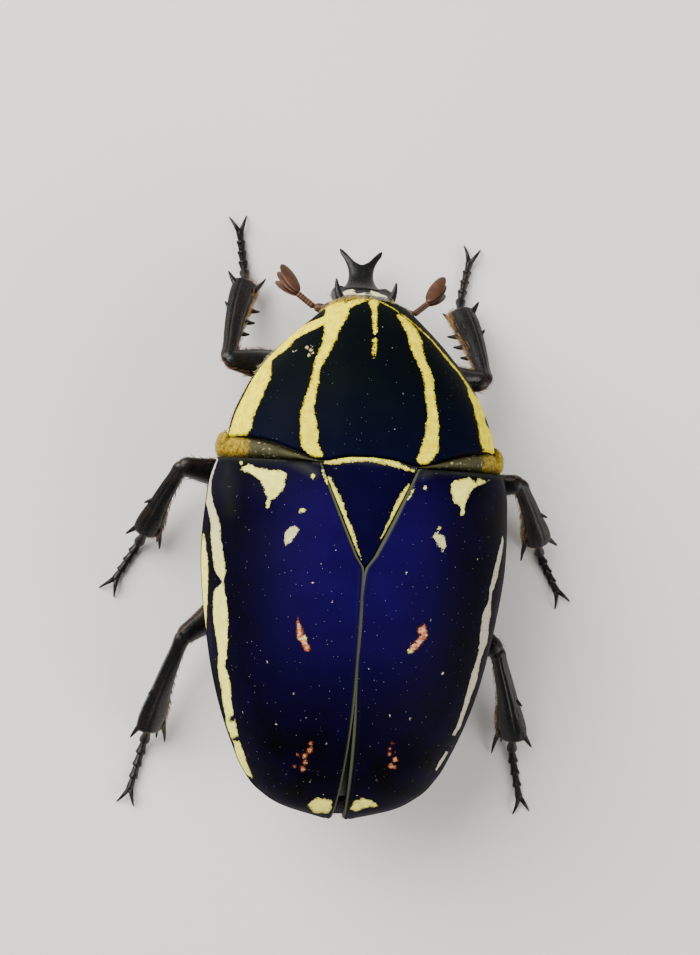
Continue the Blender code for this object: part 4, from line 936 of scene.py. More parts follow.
# The head is a narrow black capsule, bowed under the shield. Its front half is the clypeus, a dished plate
# with raised side margins and a small tooth on each side, which runs on into the horn.
HEAD_TILT = math.radians(62)
HEAD_BACK = np.array((0.0, -13.6, 0.3))
HEAD_LENGTH = 9.6
# Sections as (share of the length, half width, rise above the axis, depth below it)
HEAD_SECTIONS = np.array((
    (0.0, 2.3, 0.8, 1.5), (0.1, 2.9, 1.35, 1.9), (0.22, 3.3, 1.8, 2.3), (0.36, 3.55, 1.95, 2.5),
    (0.5, 3.25, 1.7, 2.3), (0.6, 3.0, 1.3, 1.9), (0.68, 3.1, 1.0, 1.5), (0.82, 3.3, 0.7, 0.9),
    (0.93, 3.2, 0.6, 0.45), (1.0, 2.7, 0.62, 0.2),
))
CLYPEUS_START, CLYPEUS_DISH = 0.5, 0.45
# Places on the head, here and for feelers and palps, are (distance along its axis, x, up)
EYE_RADIUS, EYE_PLACE = 1.45, (3.1, 3.45, -0.25)
HEAD_TOOTH = ((5.5, 2.3, 0.3), (6.6, 3.1, 2.5))
# How far the face's cream powder reaches, as a share of the head's half width, at shares of its length
FACE_POWDER = (
    (0, -0.5), (0.3, -0.3), (0.4, 0.25), (0.5, 0.62), (0.62, 0.78), (0.75, 0.8), (0.85, 0.74), (0.92, 0.55),
    (0.97, 0.1), (1, -0.3),
)


def head_point(t, x, up):
    """A place at distance t along the bowed head's axis, x to his left and up towards the forehead."""
    t, x, up = np.broadcast_arrays(*(np.asarray(v, float) for v in (t, x, up)))
    c, s = math.cos(HEAD_TILT), math.sin(HEAD_TILT)
    return HEAD_BACK + np.stack([x, -c * t - s * up, -s * t + c * up], axis=-1)


def head_size(share, column):
    return smooth_curve(HEAD_SECTIONS[:, (0, column)], share)


def head_rings(stations=150, around=150):
    """Rings across the head: x = half width * c^p and up = rise or depth * s^p, where p is 0.8 above and 0.9
    below, with a dish in the clypeus, raised margins beside it, a low keel on the forehead and a swelling
    round each eye."""
    share = np.linspace(0, 1, stations)[:, None]
    turn = full_turn(around)
    c, s = np.cos(turn), np.sin(turn)
    power = np.where(s >= 0, 0.8, 0.9)
    half_width = head_size(share, 1)
    x = half_width * powered(c, power)
    up = np.where(s >= 0, head_size(share, 2), head_size(share, 3)) * powered(s, power)
    out = clamp(np.abs(x) / half_width)
    along = clamp((share - CLYPEUS_START) / (1 - CLYPEUS_START))
    over = clamp(s / 0.3)
    up = up - over * CLYPEUS_DISH * np.sin(math.pi * along) * (1 - out**4)
    up = up + over * 0.3 * clamp(along * 6) * bell(out - 0.93, 0.07)
    up = up + over * 0.25 * bell(x, 0.5) * bell(share - 0.45, 0.2)
    t = share * HEAD_LENGTH
    eye_t, eye_x, eye_up = EYE_PLACE
    near = np.sqrt((t - eye_t) ** 2 + (np.abs(x) - eye_x) ** 2 + (up - eye_up) ** 2)
    swell = 0.14 * bell(near - EYE_RADIUS - 0.15, 0.25)
    return head_point(t + 0 * x, x * (1 + swell / 4), up * (1 + swell / 2))


def across(direction, towards):
    """The unit vector square to direction that lies nearest to `towards`."""
    direction = unit(direction)
    return unit(towards - np.dot(towards, direction) * direction)


def tube(start, end, place, side, wide, thick, turn):
    """Rings round the line from start to end: a point at `place` plus wide * cos(turn) along the side way
    and thick * sin(turn) square to it."""
    along = unit(end - start)
    side = across(along, np.asarray(side, float))
    other = np.cross(along, side)
    return place + (wide * np.cos(turn))[..., None] * side + (thick * np.sin(turn))[..., None] * other


def spine_rings(root, tip, radius, side, flat=1.0, tip_radius=0.07, curve=(0, 0, 0), stations=18, around=14):
    """Rings of a spine: round sections that shrink evenly to the tip, their middles bent by curve * sin(pi *
    way), and the point rounded off over the last tenth."""
    way = np.sin(np.linspace(0, math.pi / 2, stations))[:, None]
    rounded = np.sqrt(np.clip(1 - clamp((way - 0.9) / 0.1) ** 2, 0.01, 1))
    size = (radius + (tip_radius - radius) * way) * rounded
    middle = root + way[..., None] * (tip - root) + np.sin(math.pi * way)[..., None] * curve
    return tube(root, tip, middle, side, size, size * flat, full_turn(around))


def chitin(name, colour, edge, rough, scale, depth, powder=None):
    """Hard black chitin: a dark ground clouded by a second colour, punctures at `scale` to the millimetre
    that are painted darker as painted shade in the pits, fine scratches in the gloss, and relief `depth`
    millimetres deep. Given a powder colour, it is ragged powder where the attribute `powder` is above 0."""
    f = Finish(name, rough, 0.24)
    cloud, fine, spots = f.noise(0.8), f.noise(14.0, 3.0, 0.6), f.pores(scale, 0.2)
    base = f.blend(f.step_up(cloud, 0.4, 0.7), colour, edge)
    # Painted shade: the punctures are painted darker, as shade in the pits
    base = f.blend(f.times(spots, 0.5), base, tuple(c * 0.35 for c in colour))
    gloss = f.added(f.step_up(fine, 0.35, 0.75), 0.22, rough)
    if powder:
        ragged = f.added(f.noise(3.0, 4.0, 0.65), 1.6, f.attribute("powder"))
        covered = f.times(f.step_up(ragged, 0.75, 0.95), f.maths("SUBTRACT", 1.0, f.times(spots, 0.75)))
        base = f.blend(covered, base, powder)
        gloss = f.added(covered, 0.4, gloss)
    f.feed(f.shader, {"Base Color": base, "Roughness": gloss})
    f.relief(f.added(fine, 0.3, f.times(spots, -1.0)), depth)
    return f.material


BLACK, BLACK_EDGE = (0.004, 0.0045, 0.005), (0.008, 0.009, 0.007)
black_chitin = chitin("black_chitin", BLACK, BLACK_EDGE, 0.2, 3.2, 0.06)
head_chitin = chitin("head_chitin", BLACK, BLACK_EDGE, 0.2, 4.2, 0.07, powder=(0.72, 0.68, 0.4))
head_skins = [head_rings()]
for _, side in SIDES:
    root, tip = (head_point(t, side * x, up) for t, x, up in HEAD_TOOTH)
    head_skins.append(spine_rings(root, tip, 0.6, (1, 0, 0), 0.8, 0.1, curve=(side * 0.18, 0, 0)))
c, s = math.cos(HEAD_TILT), math.sin(HEAD_TILT)
local = (head_skins[0] - HEAD_BACK) @ np.array(((1, 0, 0), (0, -c, -s), (0, -s, c))).T
face_share, face_x, face_up = local[..., 1] / HEAD_LENGTH, np.abs(local[..., 0]), local[..., 2]
reach = smooth_curve(FACE_POWDER, face_share.clip(0, 1)) * head_size(face_share.clip(0, 1), 1)
ridge = 0.28 + 0.65 * clamp((face_share - 0.55) / 0.4) ** 2
face = np.minimum.reduce([reach - face_x, (face_x - ridge) * 1.5, face_up * 4])
add_piece(
    "head_capsule", "head", "black_cuticle", head_skins, head_chitin,
    powder=[face.clip(-2, 0.8), *(np.full(skin.shape[:2], -2.0) for skin in head_skins[1:])],
)


# The horn is a flat, thick blade of black chitin that grows out of the clypeus, lifts forwards and ends in a
# fork.
HORN_LENGTH = 4.4
HORN_LIFT = math.radians(38)
HORN_WIDTH = ((0, 2.25), (0.3, 1.55), (0.6, 1.3), (0.85, 1.5), (1, 1.78), (1.32, 2.75))
HORN_REACH, HORN_STEPS = 1.4, 300
HORN_THICKNESS = ((0, 0.42), (0.4, 0.55), (1, 0.42), (1.3, 0.16))


def horn_rings(stations=120, across=70):
    """A plate along a curved path: each strip at share `out` of the way to the side runs further by a factor
    of 1 + 0.3 bell(out - 0.82) - 0.14 bell(out), so its end is a fork with a round notch. The blade is thick
    * (1 - out^2.4)^0.5 over and under the middle, and lean = lift * min(1, 1.8 share)."""
    share = np.linspace(0, 1, stations)[:, None]
    out = np.sin(np.linspace(-math.pi / 2, math.pi / 2, across))[None]
    further = 1 + 0.3 * bell(np.abs(out) - 0.82, 0.2) - 0.14 * bell(out, 0.45)
    place = share * (1 + (further - 1) * share**2)
    steps = np.linspace(0, HORN_REACH, HORN_STEPS)
    pace = HORN_LENGTH * HORN_REACH / HORN_STEPS
    root_rise, root_depth = HEAD_SECTIONS[-1, 2:]
    lean = HORN_LIFT * np.minimum(1, 1.8 * steps)
    t_path = HEAD_LENGTH - 0.35 + np.cumsum(np.cos(lean)) * pace
    up_path = (root_rise - root_depth) / 2 + np.cumsum(np.sin(lean)) * pace
    t, up, lean = (np.interp(place, steps, v) for v in (t_path, up_path, lean))
    x = out * smooth_curve(HORN_WIDTH, place)
    thick = smooth_curve(HORN_THICKNESS, place) * np.sqrt(1 - np.abs(out) ** 2.4 + 1e-6)
    thick = thick * np.sqrt(np.clip(1 - clamp((share - 0.9) / 0.1) ** 2, 0.03, 1))
    over = head_point(t - thick * np.sin(lean), x, up + thick * np.cos(lean))
    under = head_point(t + thick * np.sin(lean), x, up - thick * np.cos(lean))
    return np.concatenate([over, under[:, ::-1]], axis=1)


add_piece("forked_horn", "horn", "black_cuticle", horn_rings(), black_chitin, shell=True)


# The eyes are round, dark brown and finely faceted, and sit in the sides of the head behind the clypeus.
def ball_rings(centre, radii, axes, stations=40, around=56):
    """Rings of an egg: centre + radius * (cos a, sin a cos b, sin a sin b) along three axes."""
    a = np.linspace(0.04, math.pi - 0.04, stations)[:, None]
    b = full_turn(around)
    shape = np.stack([np.cos(a) + 0 * b, np.sin(a) * np.cos(b), np.sin(a) * np.sin(b)], axis=-1)
    return np.asarray(centre) + (shape * np.asarray(radii)) @ np.asarray(axes, float)


eye_finish = Finish("faceted_eye", 0.2, 0.35)
eye_cells = eye_finish.pores(11.0, 0.5)
eye_colour = eye_finish.blend(
    eye_finish.step_up(eye_finish.noise(1.2), 0.35, 0.65), (0.008, 0.004, 0.003), (0.03, 0.012, 0.006),
)
eye_colour = eye_finish.blend(eye_cells, (0.006, 0.003, 0.002), eye_colour)
eye_finish.feed(eye_finish.shader, {"Base Color": eye_colour})
eye_finish.relief(eye_cells, 0.02)
for side_name, side in SIDES:
    t, x, up = EYE_PLACE
    rings = ball_rings(head_point(t, side * x, up), (EYE_RADIUS,) * 3, np.eye(3), 60, 80)
    add_piece(f"compound_eye_{side_name}", f"eye_{side_name}", "eye", rings, eye_finish.material)


# Each feeler has a thick first joint, a thin stalk of short joints and a club of three long leaves, all of
# brown chitin.
ANTENNA_ROOT = (5.2, -0.6)
ANTENNA_JOINTS = ((5.6, 5.2, -0.4), (7.4, 6.7, 0.1), (9.7, 8.2, 0.9))
CLUB_LEAF, CLUB_SPREAD, CLUB_STEP = (0.36, 1.9, 0.75), 0.22, 0.3


def bead_rings(start, end, sizes, side, around=20, stations=22):
    """Rings of one joint of a stalk: round sections from start to end whose radius follows sizes, rounded
    off at both ends by sqrt(1 - (1 - 2 way)^8)."""
    way = ((1 - np.cos(np.linspace(0, math.pi, stations))) / 2)[:, None]
    size = smooth_curve(sizes, way) * np.sqrt(np.clip(1 - np.abs(1 - 2 * way) ** 8, 0.004, 1))
    return tube(start, end, start + way[..., None] * (end - start), side, size, size, full_turn(around))


def chain(marks, sizes, overlap, around, stations):
    """Joints in a row from mark to mark, each run past its ends by the two shares in overlap."""
    before, after = overlap
    return [
        bead_rings(a - before * (b - a), b + after * (b - a), sizes, brow, around, stations)
        for a, b in zip(marks[:-1], marks[1:])
    ]


feeler_brown = chitin("feeler_brown", (0.05, 0.02, 0.009), (0.09, 0.04, 0.018), 0.3, 6.0, 0.02)
brow = head_point(0, 0, 1) - head_point(0, 0, 0)
for side_name, side in SIDES:
    root_t, root_up = ANTENNA_ROOT
    root = head_point(root_t, side * (float(head_size(root_t / HEAD_LENGTH, 1)) - 0.1), root_up)
    elbow, neck, tip = (head_point(t, side * x, up) for t, x, up in ANTENNA_JOINTS)
    skins = [bead_rings(root, elbow, ((0, 0.26), (0.3, 0.4), (0.75, 0.5), (1, 0.36)), brow)]
    stalk = np.linspace(0, 1, 7)[:, None] * (neck - elbow) + elbow
    skins += chain(stalk, ((0, 0.22), (0.7, 0.34), (1, 0.28)), (0.06, 0.1), 16, 14)
    third = tip - neck
    for step in (-1, 0, 1):
        spread = across(third, brow)
        long_way = unit(third + step * CLUB_SPREAD * np.linalg.norm(third) * spread)
        flat_way = across(long_way, spread)
        middle = neck + 0.1 * third + (CLUB_LEAF[1] - 0.15) * long_way + step * CLUB_STEP * flat_way
        axes = (long_way, flat_way, np.cross(flat_way, long_way))
        skins.append(ball_rings(middle, (CLUB_LEAF[1], CLUB_LEAF[0] * 0.62, CLUB_LEAF[2]), axes, 36, 36))
    add_piece(f"feeler_{side_name}", f"antenna_{side_name}", "brown_feeler", skins, feeler_brown)


# The two palps hang below the mouth, each a short chain of brown joints that ends in a blunt, longer one.
PALP_ROOT, PALP_TIP = (6.0, 1.5, 0.3), (8.7, 2.5, -2.5)
for side_name, side in SIDES:
    root_t, root_x, drop = PALP_ROOT
    root = head_point(root_t, side * root_x, -(float(head_size(root_t / HEAD_LENGTH, 3)) + drop - 0.3))
    tip = head_point(PALP_TIP[0], side * PALP_TIP[1], PALP_TIP[2])
    marks = [root + share * (tip - root) for share in (0, 0.28, 0.52, 1)]
    skins = chain(marks, ((0, 0.26), (0.6, 0.42), (1, 0.34)), (0.1, 0.06), 18, 20)
    add_piece(f"mouth_palp_{side_name}", f"palp_{side_name}", "brown_feeler", skins, feeler_brown)


# The underside of the body: the closed ring of chitin below the shield, the middle and hind thorax with a
# knob between the middle legs, and five belly plates that overlap like roof tiles. All black, punctured and
# hairy.
THROAT_FRONT, THORAX_END, ABDOMEN_END = -12.6, 12.9, 32.7
WAIST_LEAN, WAIST_DEPTH = 1.5, 8.0
PROTHORAX_BOTTOM = ((0, -5.7), (0.35, -7.6), (0.7, -8.2), (1, -7.8))
THORAX_BOTTOM = ((0, -8.0), (0.3, -8.9), (0.7, -9.0), (1, -8.7))
ABDOMEN_BOTTOM = ((0, -8.6), (0.4, -8.2), (0.7, -7.4), (1, -6.2))
UNDERSIDE_SHARE = 0.965
KNOB_PLACE, KNOB_RADII = (0, 0.9, -8.6), (2.4, 1.7, 1.1)
BELLY_PLATES = 5


def waist_shift(z):
    return -WAIST_LEAN * clamp(-np.asarray(z, float) / WAIST_DEPTH)


def prothorax_rings(stations=90, arc=150, flat=30):
    """Rings of the ring below the shield: x = half width * c and z = roof + (bottom - roof) * s^1.05, closed
    by a flat line between the side edges."""
    share = (np.linspace(0, 1, stations) ** 1.15)[:, None]
    turn = np.linspace(0, math.pi, arc)[None]
    half_width = UNDERSIDE_SHARE * PRONOTUM_HALF_WIDTH * smooth_curve(PRONOTUM_OUTLINE, share)
    roof = smooth_curve(PRONOTUM_SIDE, share) - 0.12
    bottom = smooth_curve(PROTHORAX_BOTTOM, share)
    s = np.sin(turn).clip(0)
    x = np.concatenate([half_width * np.cos(turn), half_width * np.linspace(-1, 1, flat + 2)[1:-1]], axis=1)
    z = np.concatenate([roof + (bottom - roof) * s**1.05, roof + np.zeros((1, flat))], axis=1)
    rise = np.concatenate([s, np.zeros((1, flat))], axis=1)
    front = PRONOTUM_CORNER + (THROAT_FRONT - PRONOTUM_CORNER) * rise
    hind = pronotum_hind_edge(x) + waist_shift(z)
    return np.stack([x, front + share * (hind - front), z], axis=-1)


def trunk_rings(y, bottom, swell, around=220):
    """Rings round the trunk under the wing cases: a roof that fits the shells, and below the side edge
    z = rim - (rim - bottom) * |s|^1.1 * swell."""
    turn = full_turn(around)
    c, s = np.cos(turn), np.sin(turn)
    inset = SHELL + GAP
    rim = rim_height(y)
    below = s < -0.01
    x = (elytra_half_width(y) - inset) * c * np.where(below, swell, 1.0)
    roof = back_height(x, y, inset)
    z = np.where(below, rim - (rim - bottom) * np.abs(s) ** 1.1 * swell, roof)
    return np.stack([x, y + 0 * x, z], axis=-1)


share = np.linspace(0, 1, 110)[:, None]
thorax_y = ELYTRA_START + share * (THORAX_END - ELYTRA_START)
thorax = trunk_rings(thorax_y, smooth_curve(THORAX_BOTTOM, share), 1.0)
thorax[..., 1] += (1 - share) * waist_shift(thorax[..., 2])
below = clamp(-thorax[..., 2] - 3)
x, y = thorax[..., 0], thorax[..., 1]
side_seam = np.abs(x) - 9.4 + 0.12 * (y - 4)
groove = 0.28 * bell(x, 0.22) * clamp((y - 3.5) / 2) * clamp((12.4 - y) / 1.5)
groove = groove + 0.2 * bell(side_seam, 0.16) + 0.16 * bell(y - 2.2 - 0.02 * x**2, 0.16)
thorax[..., 2] += below * groove
knob = ball_rings(KNOB_PLACE, KNOB_RADII, ((0, 1, 0), (1, 0, 0), (0, 0, 1)), 50, 60)
add_piece("thorax_armour", "thorax_underside", "black_cuticle", [thorax, knob], black_chitin)
throat = prothorax_rings()
add_piece("throat_armour", "prothorax_underside", "black_cuticle", throat, black_chitin)

# A dark, soft skin joins the front of the body to the rest and shows in the gap behind the shield
joint_skin = Finish("joint_skin", 0.6, 0.2)
joint_colour = joint_skin.blend(joint_skin.noise(3.0), (0.006, 0.004, 0.003), (0.02, 0.012, 0.008))
joint_skin.feed(joint_skin.shader, {"Base Color": joint_colour})
joint_skin.relief(joint_skin.noise(6.0), 0.06)
first, middle = thorax[0], thorax[0].mean(0)
reach = np.linspace(-2.6, 0.8, 12)[:, None, None]
waist = middle + (first - middle) * (0.955, 1, 0.95) + reach * (0, 1, 0)
add_piece("waist_skin", None, "black_cuticle", waist, joint_skin.material)

share = np.linspace(0.0, 1.0, 260)[:, None]
plate_share = (share * BELLY_PLATES) % 1.0
plate_share[-1] = 1.0
swell = 0.968 + 0.03 * plate_share**0.7 - 0.03 * clamp((plate_share - 0.95) / 0.05) ** 2
swell = swell - 0.012 * bell(plate_share, 0.06)
belly_y = THORAX_END + GAP + share * (ABDOMEN_END - THORAX_END - GAP)
belly_rings = trunk_rings(belly_y, smooth_curve(ABDOMEN_BOTTOM, share), swell, 180)
add_piece("belly_plates", "abdomen", "black_cuticle", belly_rings, black_chitin)


# The pygidium is the last back plate, a bulging triangle of blue-black chitin under the tips of the wing
# cases, with fine ripples round its middle.
PYGIDIUM_END, PYGIDIUM_HALF_WIDTH, PYGIDIUM_LEAN, PYGIDIUM_RISE, PYGIDIUM_DROP = 35.2, 6.6, 0.9, 2.4, 2.0
share = np.sin(np.linspace(0, math.pi / 2, 190))[:, None]
turn = full_turn(150)
ripple = np.sin(105 * share**2 + 1.4 * np.sin(3 * turn) + 0.8 * np.sin(7 * turn)) * clamp(share * 4)
round_off = np.sqrt(1 - (0.985 * share) ** 2) * (1 + 0.006 * ripple)
up = np.sin(turn) * round_off
tail_middle = float(rim_height(ELYTRA_LENGTH)) - RIM_DEPTH - GAP - PYGIDIUM_RISE
z = tail_middle + up * np.where(up > 0, PYGIDIUM_RISE, PYGIDIUM_DROP)
y = ABDOMEN_END + 0.15 + share * (PYGIDIUM_END - ABDOMEN_END - 0.15) + share * PYGIDIUM_LEAN * up
y = y + 0.035 * ripple * share**3
wrinkled = chitin("wrinkled_plate", (0.004, 0.004, 0.009), (0.009, 0.009, 0.014), 0.34, 4.5, 0.07)
tail_rings = np.stack([PYGIDIUM_HALF_WIDTH * round_off * np.cos(turn) + 0 * z, y, z], axis=-1)
add_piece("tail_plate", "pygidium", "black_cuticle", tail_rings, wrinkled)


# Six legs of black, ridged chitin: a hip cone sunk in the body, a thick thigh, a shin with teeth and spurs,
# and a foot of five flared joints with two hooked claws. The fore shins carry a male's row of inner teeth.
FLOOR = -(BELLY_DEPTH + BELLY_CLEARANCE)
LEG_PLACES = {
    "front": {
        "root": (2.6, -8.2, -6.0), "hip": (3.5, -9.3, -10.4), "knee": (13.4, -10.0, -6.2),
        "ankle": (11.8, -18.6, -12.0), "toe": (12.8, -24.4), "right_shift": (-0.6, 1.3),
    },
    "middle": {
        "root": (4.2, 3.4, -6.5), "hip": (5.2, 2.6, -11.0), "knee": (17.4, 1.2, -6.2),
        "ankle": (20.6, 8.2, -11.6), "toe": (23.6, 13.6), "right_shift": (0.5, -1.4),
    },
    "hind": {
        "root": (5.0, 10.2, -6.5), "hip": (6.6, 11.4, -10.9), "knee": (16.2, 18.5, -6.8),
        "ankle": (19.0, 28.6, -11.6), "toe": (20.6, 35.6), "right_shift": (0.7, -0.9),
    },
}
# Sections as (share of the length, half of the wide way, half of the thick way)
HIP_SECTIONS = ((0, 1.8, 1.6), (0.55, 1.65, 1.5), (1, 1.2, 1.1))
FEMUR_SECTIONS = {
    "front": ((0, 1.2, 1.1), (0.2, 1.5, 1.3), (0.45, 1.85, 1.4), (0.7, 1.7, 1.25), (0.84, 1.35, 1.05),
              (1, 1.05, 0.9)),
    "middle": ((0, 1.2, 1.1), (0.2, 1.5, 1.3), (0.45, 1.85, 1.4), (0.7, 1.65, 1.2), (0.85, 1.3, 1.0),
               (1, 1.05, 0.9)),
    "hind": ((0, 1.2, 1.1), (0.2, 1.75, 1.45), (0.45, 2.2, 1.6), (0.7, 1.95, 1.35), (0.86, 1.45, 1.05),
             (1, 1.1, 0.95)),
}
TIBIA_SECTIONS = {
    "front": ((0, 0.9, 0.8), (0.12, 0.8, 0.72), (0.3, 0.9, 0.75), (0.5, 1.05, 0.75), (0.85, 1.3, 0.8),
              (1, 1.25, 0.75)),
    "middle": ((0, 0.9, 0.8), (0.12, 0.78, 0.72), (0.3, 0.85, 0.78), (0.55, 1.0, 0.85), (0.9, 1.4, 1.05),
               (1, 1.35, 1.0)),
    "hind": ((0, 0.95, 0.85), (0.12, 0.82, 0.78), (0.3, 0.92, 0.85), (0.55, 1.15, 0.95), (0.9, 1.65, 1.15),
             (1, 1.55, 1.1)),
}
# Teeth of each shin as (share of the length, length, half width at the root, lean towards the foot)
OUTER_TEETH = {
    "front": ((0.62, 0.9, 0.5, 0.6), (0.95, 1.5, 0.55, 0.9)),
    "middle": ((0.55, 1.1, 0.5, 0.6), (0.96, 1.4, 0.5, 1.4)),
    "hind": ((0.55, 1.1, 0.52, 0.7), (0.95, 1.6, 0.55, 1.6)),
}
INNER_TEETH = {
    "front": ((0.4, 0.7, 0.42, 0.3), (0.56, 0.9, 0.45, 0.3), (0.72, 1.0, 0.45, 0.3)),
    "middle": (), "hind": (),
}
TOOTH_SINK, SPUR_SINK = 0.45, 0.9
SPUR_LENGTHS = {"front": (1.5,), "middle": (2.2, 1.8), "hind": (2.8, 2.2)}
SHIN_BOW = 0.25
HIP_RUN, THIGH_GROOVE, SHIN_GROOVE = (0.3, 0.7), 0.05, 0.1
GROOVE_PLACES = (0.85, 2.3)
TARSUS_RADIUS, TARSUS_HEIGHT, FOOT_DESCENT, FOOT_LANDING = 0.58, 0.82, 0.22, 0.28
CLAW_LENGTH, CLAW_SINK, CLAW_SPREAD, CLAW_ARCH = 1.9, 0.45, 0.95, 0.5
SPUR_TIP_HEIGHT, CLAW_TIP_HEIGHT = 0.2, 0.08


def foot_axes(leg, side):
    """Root, hip, knee, ankle and toe of a leg on one side; the right foot stands a little out of step."""
    place = LEG_PLACES[leg]
    shift = np.array([*place["right_shift"], 0.0]) if side < 0 else np.zeros(3)
    at = {name: np.array(place[name], float) for name in ("root", "hip", "knee", "ankle")}
    at["toe"] = np.array([*place["toe"], FLOOR + TARSUS_HEIGHT * TARSUS_RADIUS]) + shift
    at["knee"] += 0.3 * shift
    at["ankle"] += shift
    return {name: point * (side, 1, 1) for name, point in at.items()}


def limb_rings(start, end, sections, wide, over, bow=0.0, ridge=0.0, groove=0.0, stations=100, around=84):
    """Oval rings along a limb. It runs past each joint by `over`, where it closes like an egg. A ridge
    stands out along its wide edge as ridge * exp(-(angle / 0.3)^2), and four grooves run along it, each
    groove * exp(-((angle - its place) / 0.12)^2) deep, with rows of small pits between them."""
    length = np.linalg.norm(end - start)
    way = ((1 - np.cos(np.linspace(0, math.pi, stations))) / 2)[:, None]
    distance = -over[0] + way * (length + over[0] + over[1])
    share = clamp(distance / length)
    from_start = clamp((distance + over[0]) / (over[0] * 1.8))
    from_end = clamp((length + over[1] - distance) / (over[1] * 1.8))
    start_closing, end_closing = (np.clip(1 - (1 - near) ** 2, 0.002, 1) for near in (from_start, from_end))
    closing = np.sqrt(start_closing * end_closing)
    sections = np.array(sections, float)
    wide_half = smooth_curve(sections[:, (0, 1)], share) * closing
    thick_half = smooth_curve(sections[:, (0, 2)], share) * closing
    turn = np.linspace(-math.pi, math.pi, around, endpoint=False)[None]
    edge = 1 + ridge * bell(turn, 0.3) + 0.6 * ridge * bell(math.pi - np.abs(turn), 0.3)
    along, side = unit(end - start), across(end - start, wide)
    middle = start + distance[..., None] * along + (bow * np.sin(math.pi * share))[..., None] * side
    first_groove, second_groove = (np.abs(np.abs(turn) - place) for place in GROOVE_PLACES)
    rows = np.cos(11 * turn + 2 * np.sin(3 * share * length))
    rows = rows * np.cos(5.2 * distance + 0.8 * np.sin(4 * turn))
    depth = bell(np.minimum(first_groove, second_groove), 0.12) + 0.45 * clamp(rows) ** 3
    carved = 1 - np.sin(math.pi * way) ** 0.5 * groove * depth
    return tube(start, end, middle, wide, wide_half * edge * carved, thick_half * carved, turn)


def shin_spines(leg, at, shin, thigh):
    """Teeth along the shin's outer and inner edges, and the spurs inside its end."""
    outer = across(shin, thigh)
    widths = np.array(TIBIA_SECTIONS[leg])[:, (0, 1)]
    spines = []
    for edge_way, row in ((outer, OUTER_TEETH[leg]), (-outer, INNER_TEETH[leg])):
        for share, length, radius, lean in row:
            edge = float(smooth_curve(widths, share)) - TOOTH_SINK
            root = at["knee"] + share * (at["ankle"] - at["knee"]) + edge_way * edge - shin * 0.3
            tip = root + unit(edge_way + lean * shin) * (length + TOOTH_SINK)
            spines.append(spine_rings(root, tip, radius, shin, 0.75, 0.09, curve=-0.12 * shin))
    for number, length in enumerate(SPUR_LENGTHS[leg]):
        beside = np.cross(shin, outer) * (0.45 - 0.9 * number)
        root = at["ankle"] - outer * (widths[-1][1] - TOOTH_SINK) - shin * (SPUR_SINK + 0.1) + beside
        tip = root + unit(shin - 0.45 * outer + 0.25 * beside) * (length + SPUR_SINK)
        tip[2] = max(tip[2], FLOOR + SPUR_TIP_HEIGHT)
        spines.append(spine_rings(root, tip, 0.36, outer, 1.0, 0.07, curve=-0.1 * outer))
    return spines


def foot_skins(at):
    """Five flared joints that come down from the ankle and lie along the floor, then two hooked claws.
    Nothing reaches below the floor."""
    ankle, toe = at["ankle"], at["toe"]
    away = across((0, 0, 1), toe - ankle)
    sideways = np.cross(away, (0, 0, 1))
    down = ankle + FOOT_LANDING * (toe - ankle) * (1, 1, 0)
    down[2] = toe[2]
    path = np.array((ankle, down, toe))
    marks = np.linspace(0, 1, 6)
    knots = np.stack([np.interp(marks, (0, FOOT_DESCENT, 1), path[:, k]) for k in range(3)], axis=-1)
    skins = []
    for joint, (a, b) in enumerate(zip(knots[:-1], knots[1:])):
        full = TARSUS_RADIUS * (1 - 0.04 * joint)
        sizes = ((0, 0.3), (0.25, 0.36), (0.6, full * 0.8), (0.86, full), (1, full * 0.9))
        if joint == 4:
            sizes = ((0, 0.26), (0.4, 0.36), (0.8, full * 0.85), (1, full * 0.8))
        skins.append(bead_rings(a - 0.22 * (b - a), b + 0.02 * (b - a), sizes, sideways, 26, 26))
    for spread in (-1, 1):
        root = toe - away * CLAW_SINK
        tip = toe + away * CLAW_LENGTH * 0.8 + sideways * spread * CLAW_SPREAD
        tip[2] = FLOOR + CLAW_TIP_HEIGHT
        skins.append(spine_rings(root, tip, 0.32, sideways, 1.0, 0.07, curve=(0, 0, CLAW_ARCH), stations=26))
    for skin in skins:
        skin[..., 2] = np.maximum(skin[..., 2], FLOOR)
    return skins


leg_chitin = chitin("leg_chitin", (0.004, 0.0045, 0.0055), (0.012, 0.008, 0.006), 0.2, 4.0, 0.06)
THIGH_RUN, SHIN_RUN, THIGH_RIDGE, SHIN_RIDGE = (0.7, 0.6), (0.6, 0.35), 0.04, 0.12
limbs = []
for leg in LEG_PLACES:
    for side_name, side in SIDES:
        at = foot_axes(leg, side)
        thigh, shin = unit(at["knee"] - at["hip"]), unit(at["ankle"] - at["knee"])
        femur = (at["hip"], at["knee"], FEMUR_SECTIONS[leg], -shin, THIGH_RUN, 0.0, THIGH_RIDGE)
        tibia = (at["knee"], at["ankle"], TIBIA_SECTIONS[leg], thigh, SHIN_RUN, SHIN_BOW, SHIN_RIDGE)
        limbs.append((leg, side_name, femur, tibia))
        for part, solid, skins in (
            ("hip", "coxa", limb_rings(at["root"], at["hip"], HIP_SECTIONS, thigh, HIP_RUN)),
            ("thigh", "femur", limb_rings(*femur, groove=THIGH_GROOVE)),
            ("shin", "tibia", [limb_rings(*tibia, groove=SHIN_GROOVE), *shin_spines(leg, at, shin, thigh)]),
            ("foot", "tarsus", foot_skins(at)),
        ):
            node = f"{leg}_{solid}_{side_name}"
            add_piece(f"{leg}_{part}_{side_name}", node, "leg_cuticle", skins, leg_chitin)


